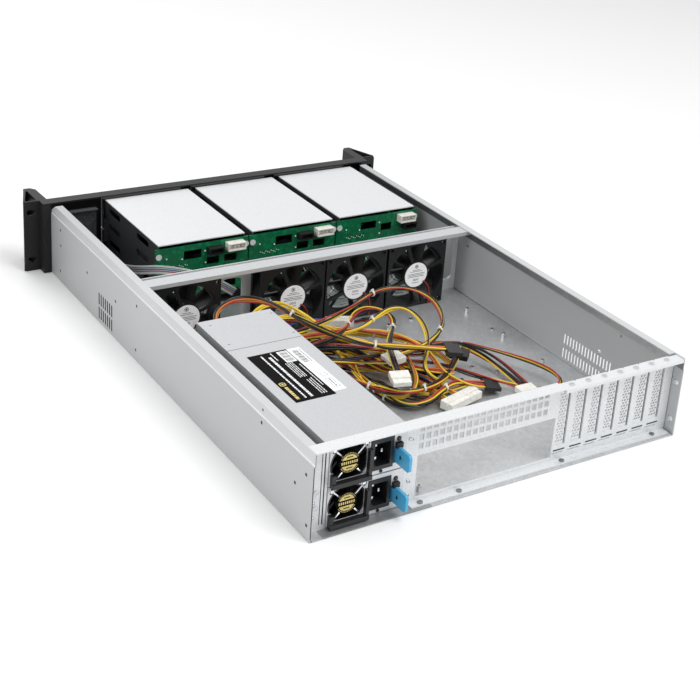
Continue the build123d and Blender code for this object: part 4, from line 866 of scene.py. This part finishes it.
# Each lead's route, as points of the spline that it follows.
routes = {
    "harness_trunk": [
        (0.136, 0.0605, 0.034), (0.136, 0.0405, 0.034), (0.122, 0.0195, 0.034),
        (0.096, 0.0115, 0.033), (0.068, 0.0195, 0.03), (0.043, 0.0405, 0.025),
        (0.02, 0.0665, 0.019), (-0.004, 0.0925, 0.013), (-0.024, 0.1225, 0.009),
        (-0.038, 0.1545, 0.008), (-0.046, 0.1845, 0.008)],
    "harness_arch": [
        (0.164, 0.0605, 0.073), (0.164, 0.0445, 0.073), (0.152, 0.0265, 0.076),
        (0.13, 0.0145, 0.078), (0.107, 0.0205, 0.078), (0.093, 0.0395, 0.077),
        (0.084, 0.0625, 0.073), (0.07, 0.0865, 0.067), (0.05, 0.1065, 0.06),
        (0.026, 0.1205, 0.054), (0, 0.1285, 0.049), (-0.028, 0.1345, 0.045),
        (-0.056, 0.1445, 0.042)],
    "harness_loop": [
        (0.1095, 0.0785, 0.06), (0.088, 0.0785, 0.06), (0.058, 0.0705, 0.061),
        (0.03, 0.0605, 0.06), (0.002, 0.0465, 0.06), (-0.024, 0.0325, 0.06),
        (-0.048, 0.0225, 0.061), (-0.072, 0.0265, 0.062), (-0.09, 0.0445, 0.061),
        (-0.096, 0.0685, 0.056), (-0.088, 0.0945, 0.048), (-0.07, 0.1105, 0.04),
        (-0.044, 0.1185, 0.034), (-0.018, 0.1185, 0.031)],
    "harness_far": [
        (0.1095, 0.0765, 0.042), (0.088, 0.0765, 0.042), (0.06, 0.0805, 0.04),
        (0.03, 0.0865, 0.036), (0.002, 0.0925, 0.031), (-0.026, 0.0965, 0.027),
        (-0.054, 0.0945, 0.023), (-0.082, 0.0905, 0.02), (-0.106, 0.0985, 0.017),
        (-0.12, 0.1205, 0.013), (-0.126, 0.1465, 0.009), (-0.127, 0.1725, 0.007),
        (-0.126, 0.1945, 0.006)],
    "harness_knot": [
        (0.1095, 0.0965, 0.051), (0.087, 0.0965, 0.051), (0.058, 0.0925, 0.051),
        (0.032, 0.0785, 0.05), (0.01, 0.0585, 0.049), (-0.008, 0.0405, 0.048),
        (-0.028, 0.0325, 0.047), (-0.044, 0.0445, 0.046), (-0.042, 0.0665, 0.045),
        (-0.026, 0.0865, 0.044), (-0.009, 0.1075, 0.042), (0.002, 0.1305, 0.039),
        (0.01, 0.1565, 0.034)],
    "harness_floor": [
        (0.1095, 0.0745, 0.024), (0.09, 0.0745, 0.024), (0.066, 0.0705, 0.024),
        (0.044, 0.0805, 0.022), (0.03, 0.1005, 0.017), (0.026, 0.1265, 0.01),
        (0.022, 0.1545, 0.0056), (0.009, 0.1765, 0.0054), (-0.012, 0.1845, 0.01),
        (-0.032, 0.1785, 0.016), (-0.052, 0.1715, 0.017), (-0.07, 0.1715, 0.012),
        (-0.086, 0.1775, 0.01)],
    "harness_sweep": [
        (0.1095, 0.1085, 0.03), (0.09, 0.1085, 0.03), (0.066, 0.1165, 0.028),
        (0.048, 0.1345, 0.024), (0.034, 0.1545, 0.02), (0.014, 0.1685, 0.018),
        (-0.012, 0.1725, 0.018), (-0.038, 0.1665, 0.019), (-0.06, 0.1525, 0.021),
        (-0.078, 0.1365, 0.024)],
    "mat_high": [
        (0.124, 0.0605, 0.052), (0.124, 0.0435, 0.052), (0.112, 0.0205, 0.054),
        (0.092, 0.006, 0.057), (0.07, 0.0035, 0.058), (0.0532, 0.0261, 0.054),
        (0.0447, 0.0496, 0.048), (0.0333, 0.0675, 0.042), (0.0164, 0.076, 0.036),
        (-0.0032, 0.0803, 0.031), (-0.0123, 0.0986, 0.026), (-0.0135, 0.124, 0.019),
        (-0.021, 0.152, 0.013), (-0.031, 0.188, 0.0085)],
    "mat_long": [
        (0.116, 0.0605, 0.046), (0.116, 0.0465, 0.046), (0.104, 0.0285, 0.048),
        (0.083, 0.0215, 0.049), (0.0578, 0.0239, 0.048), (0.0418, 0.0397, 0.043),
        (0.0203, 0.0512, 0.038), (-0.0033, 0.0594, 0.034), (-0.0243, 0.0719, 0.031),
        (-0.0453, 0.0845, 0.028), (-0.0594, 0.1028, 0.026), (-0.0658, 0.127, 0.024),
        (-0.0672, 0.143, 0.021)],
    "mat_low": [
        (0.1095, 0.0885, 0.033), (0.086, 0.083, 0.034), (0.064, 0.064, 0.034),
        (0.048, 0.056, 0.032), (0.0345, 0.0669, 0.027), (0.03, 0.0872, 0.02),
        (0.0307, 0.1125, 0.014), (0.0259, 0.1423, 0.01), (0.0138, 0.1642, 0.009),
        (-0.0032, 0.1649, 0.012), (-0.0184, 0.1489, 0.018), (-0.0254, 0.1278, 0.024),
        (-0.0214, 0.1082, 0.03), (-0.0079, 0.0945, 0.034), (0.007, 0.0895, 0.0345)],
    "tie_lead": [
        (0.1095, 0.0875, 0.02), (0.09, 0.0865, 0.021), (0.07, 0.068, 0.024),
        (0.0516, 0.0588, 0.024), (0.0327, 0.0633, 0.022), (0.0215, 0.0808, 0.018),
        (0.0275, 0.1048, 0.014), (0.0297, 0.1288, 0.01), (0.0218, 0.148, 0.009),
        (0.0019, 0.16, 0.009), (-0.0205, 0.1654, 0.011), (-0.0464, 0.1614, 0.015),
        (-0.0625, 0.1515, 0.0185)],
    "upper_loop": [
        (0.1095, 0.0705, 0.05), (0.09, 0.069, 0.049), (0.068, 0.064, 0.046), (0.05, 0.0645, 0.044),
        (0.0297, 0.0737, 0.044), (0.0015, 0.0707, 0.046), (-0.0235, 0.0605, 0.05),
        (-0.0431, 0.0542, 0.054), (-0.0596, 0.0613, 0.054), (-0.0639, 0.0849, 0.05),
        (-0.0589, 0.1081, 0.042), (-0.048, 0.1235, 0.032), (-0.0355, 0.1354, 0.024),
        (-0.0315, 0.152, 0.0195), (-0.0365, 0.164, 0.018)],
    "middle_run": [
        (0.1095, 0.0875, 0.043), (0.088, 0.0865, 0.042), (0.068, 0.075, 0.04),
        (0.05, 0.065, 0.037), (0.0319, 0.0655, 0.034), (0.0162, 0.0768, 0.028),
        (0.0044, 0.0936, 0.023), (-0.0068, 0.1111, 0.02), (-0.024, 0.1281, 0.02),
        (-0.0412, 0.145, 0.02), (-0.0602, 0.1567, 0.02)],
    "orange_run": [
        (0.1095, 0.0875, 0.059), (0.09, 0.0865, 0.058), (0.064, 0.079, 0.053),
        (0.036, 0.0705, 0.047), (0.013, 0.0655, 0.043), (-0.0066, 0.0686, 0.04),
        (-0.0236, 0.0771, 0.038), (-0.0404, 0.0911, 0.035), (-0.0509, 0.1098, 0.031),
        (-0.0521, 0.1341, 0.026), (-0.0479, 0.1548, 0.021), (-0.0585, 0.173, 0.016),
        (-0.072, 0.1808, 0.013), (-0.0835, 0.183, 0.0105)],
    "rear_run": [
        (0.1095, 0.106, 0.04), (0.09, 0.106, 0.04), (0.062, 0.109, 0.036), (0.032, 0.113, 0.03),
        (0.001, 0.117, 0.026), (-0.03, 0.123, 0.024), (-0.0584, 0.1367, 0.021),
        (-0.0772, 0.153, 0.015), (-0.0933, 0.1684, 0.011), (-0.108, 0.181, 0.009),
        (-0.119, 0.1925, 0.0075)],
    "far_pair": [
        (0.1095, 0.0665, 0.03), (0.09, 0.0665, 0.031), (0.062, 0.073, 0.033),
        (0.032, 0.083, 0.033), (0.002, 0.093, 0.031), (-0.025, 0.103, 0.028),
        (-0.0505, 0.1067, 0.024), (-0.0827, 0.0989, 0.022), (-0.1086, 0.1047, 0.02),
        (-0.1246, 0.1283, 0.017), (-0.1302, 0.1597, 0.013), (-0.1315, 0.1925, 0.0075)],
    "far_yellow": [
        (0.1095, 0.099, 0.025), (0.09, 0.098, 0.026), (0.062, 0.095, 0.027), (0.032, 0.098, 0.027),
        (0.001, 0.101, 0.026), (-0.03, 0.101, 0.024), (-0.0559, 0.0975, 0.023),
        (-0.0839, 0.0952, 0.021), (-0.1105, 0.1005, 0.019), (-0.1311, 0.1228, 0.017),
        (-0.1486, 0.147, 0.016), (-0.1622, 0.1711, 0.015), (-0.1686, 0.1967, 0.014),
        (-0.1634, 0.2132, 0.011), (-0.1506, 0.2142, 0.009), (-0.1385, 0.207, 0.0075)],
    "bottom_turn": [
        (0.1095, 0.1005, 0.014), (0.092, 0.1005, 0.014), (0.066, 0.103, 0.0135),
        (0.04, 0.11, 0.0125), (0.023, 0.126, 0.011), (0.019, 0.1545, 0.0085),
        (0.0131, 0.1764, 0.0075), (-0.0033, 0.1847, 0.0075), (-0.0223, 0.1803, 0.009),
        (-0.0449, 0.1748, 0.0105), (-0.067, 0.1752, 0.0125)],
    "under_near": [
        (0.1095, 0.0775, 0.01), (0.093, 0.0775, 0.014), (0.068, 0.078, 0.013),
        (0.045, 0.082, 0.01), (0.0275, 0.0955, 0.008), (0.019, 0.112, 0.0075),
        (0.015, 0.13, 0.0075), (0.0085, 0.149, 0.0075), (-0.004, 0.164, 0.0075),
        (-0.019, 0.174, 0.008)],
    "under_middle": [
        (0.1095, 0.068, 0.012), (0.09, 0.0675, 0.0115), (0.062, 0.064, 0.01),
        (0.035, 0.068, 0.009), (0.0073, 0.086, 0.008), (-0.0122, 0.1035, 0.008),
        (-0.032, 0.118, 0.008), (-0.044, 0.135, 0.011), (-0.048, 0.15, 0.0165)],
    "under_far": [
        (0.115, 0.0605, 0.02), (0.115, 0.048, 0.02), (0.101, 0.037, 0.018), (0.075, 0.035, 0.014),
        (0.045, 0.039, 0.01), (0.015, 0.046, 0.008), (-0.0109, 0.0542, 0.008),
        (-0.0312, 0.0652, 0.008), (-0.048, 0.078, 0.0095), (-0.0565, 0.092, 0.014),
        (-0.059, 0.104, 0.0205)]}
under_wires = "black yellow black red yellow black yellow black".split()
fan_plug_route = [
    (0.046, -0.031, 0.0065), (0.043, -0.0225, 0.015), (0.033, -0.0135, 0.0225),
    (0.019, -0.009, 0.023), (0.003, -0.0045, 0.02)]
plug_tail_route = [
    (-0.027, 0.0095, 0.02), (-0.037, 0.0125, 0.021), (-0.0465, 0.022, 0.027),
    (-0.049, 0.035, 0.037), (-0.0455, 0.045, 0.044)]

drive_lead = "yellow black red black orange yellow black".split()
fan_lead = "yellow black black red yellow".split()
yellow_lead = "yellow yellow black yellow yellow orange yellow".split()
dark_lead = "red black black red black yellow".split()
trunk_wires = ("yellow black yellow black red orange black yellow green black yellow "
               "red orange blue yellow black yellow orange red black").split()
white, black = "white_cable_plugs", "black_cable_plugs"

# Each row holds a lead, its wires, spread, width, the plug on it and the places of its ties as
# shares of its length. The leads with a plug have a CAD node, and the others are seen only.
leads = [
    ("harness_trunk", trunk_wires, 0.0050, 0.0125, white, (0.3, 0.55, 0.82)),
    ("harness_arch", drive_lead, 0.0023, 0.0062, black, (0.5, 0.8)),
    ("harness_loop", fan_lead, 0.0020, 0.0056, white, (0.42, 0.85)),
    ("harness_far", dark_lead, 0.0020, 0.0056, white, (0.45, 0.7)),
    ("harness_knot", dark_lead, 0.0020, 0.0056, white, (0.3, 0.75)),
    ("harness_floor", drive_lead, 0.0021, 0.0058, black, (0.5, 0.8)),
    ("harness_sweep", dark_lead, 0.0022, 0.0060, black, (0.4, 0.7)),
    ("mat_high", yellow_lead, 0.0026, 0.0068, None, (0.75,)),
    ("mat_long", yellow_lead, 0.0026, 0.0068, None, (0.65,)),
    ("mat_low", yellow_lead, 0.0022, 0.0060, None, (0.5,)),
    ("tie_lead", dark_lead, 0.0021, 0.0058, None, (0.35, 0.8)),
    ("upper_loop", yellow_lead[:5], 0.0019, 0.0054, None, (0.4,)),
    ("middle_run", drive_lead, 0.0022, 0.0060, None, (0.7,)),
    ("orange_run", ["orange", "red", "yellow", "orange"], 0.0018, 0.0052, None, ()),
    ("rear_run", ["black", "yellow", "red", "black"], 0.0017, 0.0050, None, (0.6,)),
    ("far_pair", ["black", "red", "black"], 0.0015, 0.0045, None, (0.5,)),
    ("far_yellow", ["yellow", "black", "red", "black"], 0.0015, 0.0046, None, ()),
    ("under_near", under_wires, 0.0040, 0.0100, None, ()),
    ("under_middle", under_wires, 0.0040, 0.0100, None, ()),
    ("under_far", under_wires, 0.0038, 0.0096, None, ()),
    ("bottom_turn", ["green", "orange", "yellow", "black"], 0.0017, 0.0050, None, ())]
for name, tones, spread, width, plug, ties in leads:
    piece, line = make_bundle(name + "_wires", routes[name], tones, spread, lead_twist, ties)
    on_it = [make_tie(name + "_tie_" + str(step + 1), line, share,
                      spread * 0.55 + wire_radius * 2)
             for step, share in enumerate(ties)]
    if plug:
        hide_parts(name)
        on_it.append(plug)

# Fans' extension plug
# A pair of mated white four-pin plugs between fan 2's leads and the supply's.
plug_start, plug_end = Vector(fan_plug_route[-1]), Vector(plug_tail_route[0])
plug_way = (plug_end - plug_start).normalized()
plug_side = plug_way.cross(Vector((0, 0, 1))).normalized()
plug_turn = Matrix((plug_way, -plug_side, plug_side.cross(plug_way))).transposed().to_4x4()
plug_frame = Matrix.Translation((plug_start + plug_end) / 2) @ plug_turn
bm = bmesh.new()
for shift, wide, thick in ((-0.0075, 0.0112, 0.0078), (0.0075, 0.0126, 0.0090)):
    place = plug_frame @ Matrix.Translation((shift, 0, 0))
    add_cube(bm, place @ Matrix.Diagonal((0.016, wide, thick, 1)), 0.0008)
extension_plug = finish_piece("fan_extension_plug", bm, [white_nylon])
for name, points, tones in (("fan_plug_wires", fan_plug_route, ["red", "blue", "red", "blue"]),
                            ("plug_tail_wires", plug_tail_route, ["red", "black", "red", "black"])):
    piece, line = make_bundle(name, points, tones, 0.0017, 0.5)

# Fan leads
# A red and a black wire leave each hub along a strut and run down to the frame's foot.
for number, x in enumerate(fan_centres):
    points = [(x - 0.0100, hub_face + 0.0010, fan_middle - 0.0090),
              (x - 0.0150, hub_face + 0.0034, fan_middle - 0.0130),
              (x - 0.0175, hub_face + 0.0040, fan_middle - 0.0210),
              (x - 0.0180, hub_face + 0.0036, fan_middle - 0.0300),
              (x - 0.0190, hub_face + 0.0018, fan_middle - 0.0385)]
    line = smooth_line(points)
    lines = [[place + side * shift for place, (side, up) in zip(line, frames_along(line))]
             for shift in (-0.0006, 0.0006)]
    piece = join_wires("fan_lead_" + str(number + 1), lines, ["red", "black"], 0.0006)

# Ribbon cable
# A flat grey cable of ten thin wires side by side, from the front controls to the board.
ribbon_route = [
    (0.182, -0.2829, 0.04), (0.182, -0.2635, 0.04), (0.181, -0.2335, 0.041),
    (0.179, -0.1975, 0.043), (0.175, -0.1635, 0.049), (0.168, -0.1335, 0.058),
    (0.156, -0.1115, 0.066), (0.138, -0.0975, 0.066), (0.116, -0.0895, 0.06),
    (0.094, -0.0855, 0.049), (0.076, -0.0835, 0.036)]
ribbon_tones = "grey white grey red grey blue grey green white grey".split()
ribbon_pitch = 0.001
line = smooth_line(ribbon_route)
pairs = frames_along(line, Vector((0, 0, 1)))
lines = []
for step in range(len(ribbon_tones)):
    shift = (step - (len(ribbon_tones) - 1) / 2) * ribbon_pitch
    lines.append([place + side * shift for place, (side, up) in zip(line, pairs)])
piece = join_wires("ribbon_wires", lines, ribbon_tones, ribbon_pitch / 2)
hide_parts("ribbon_cable")
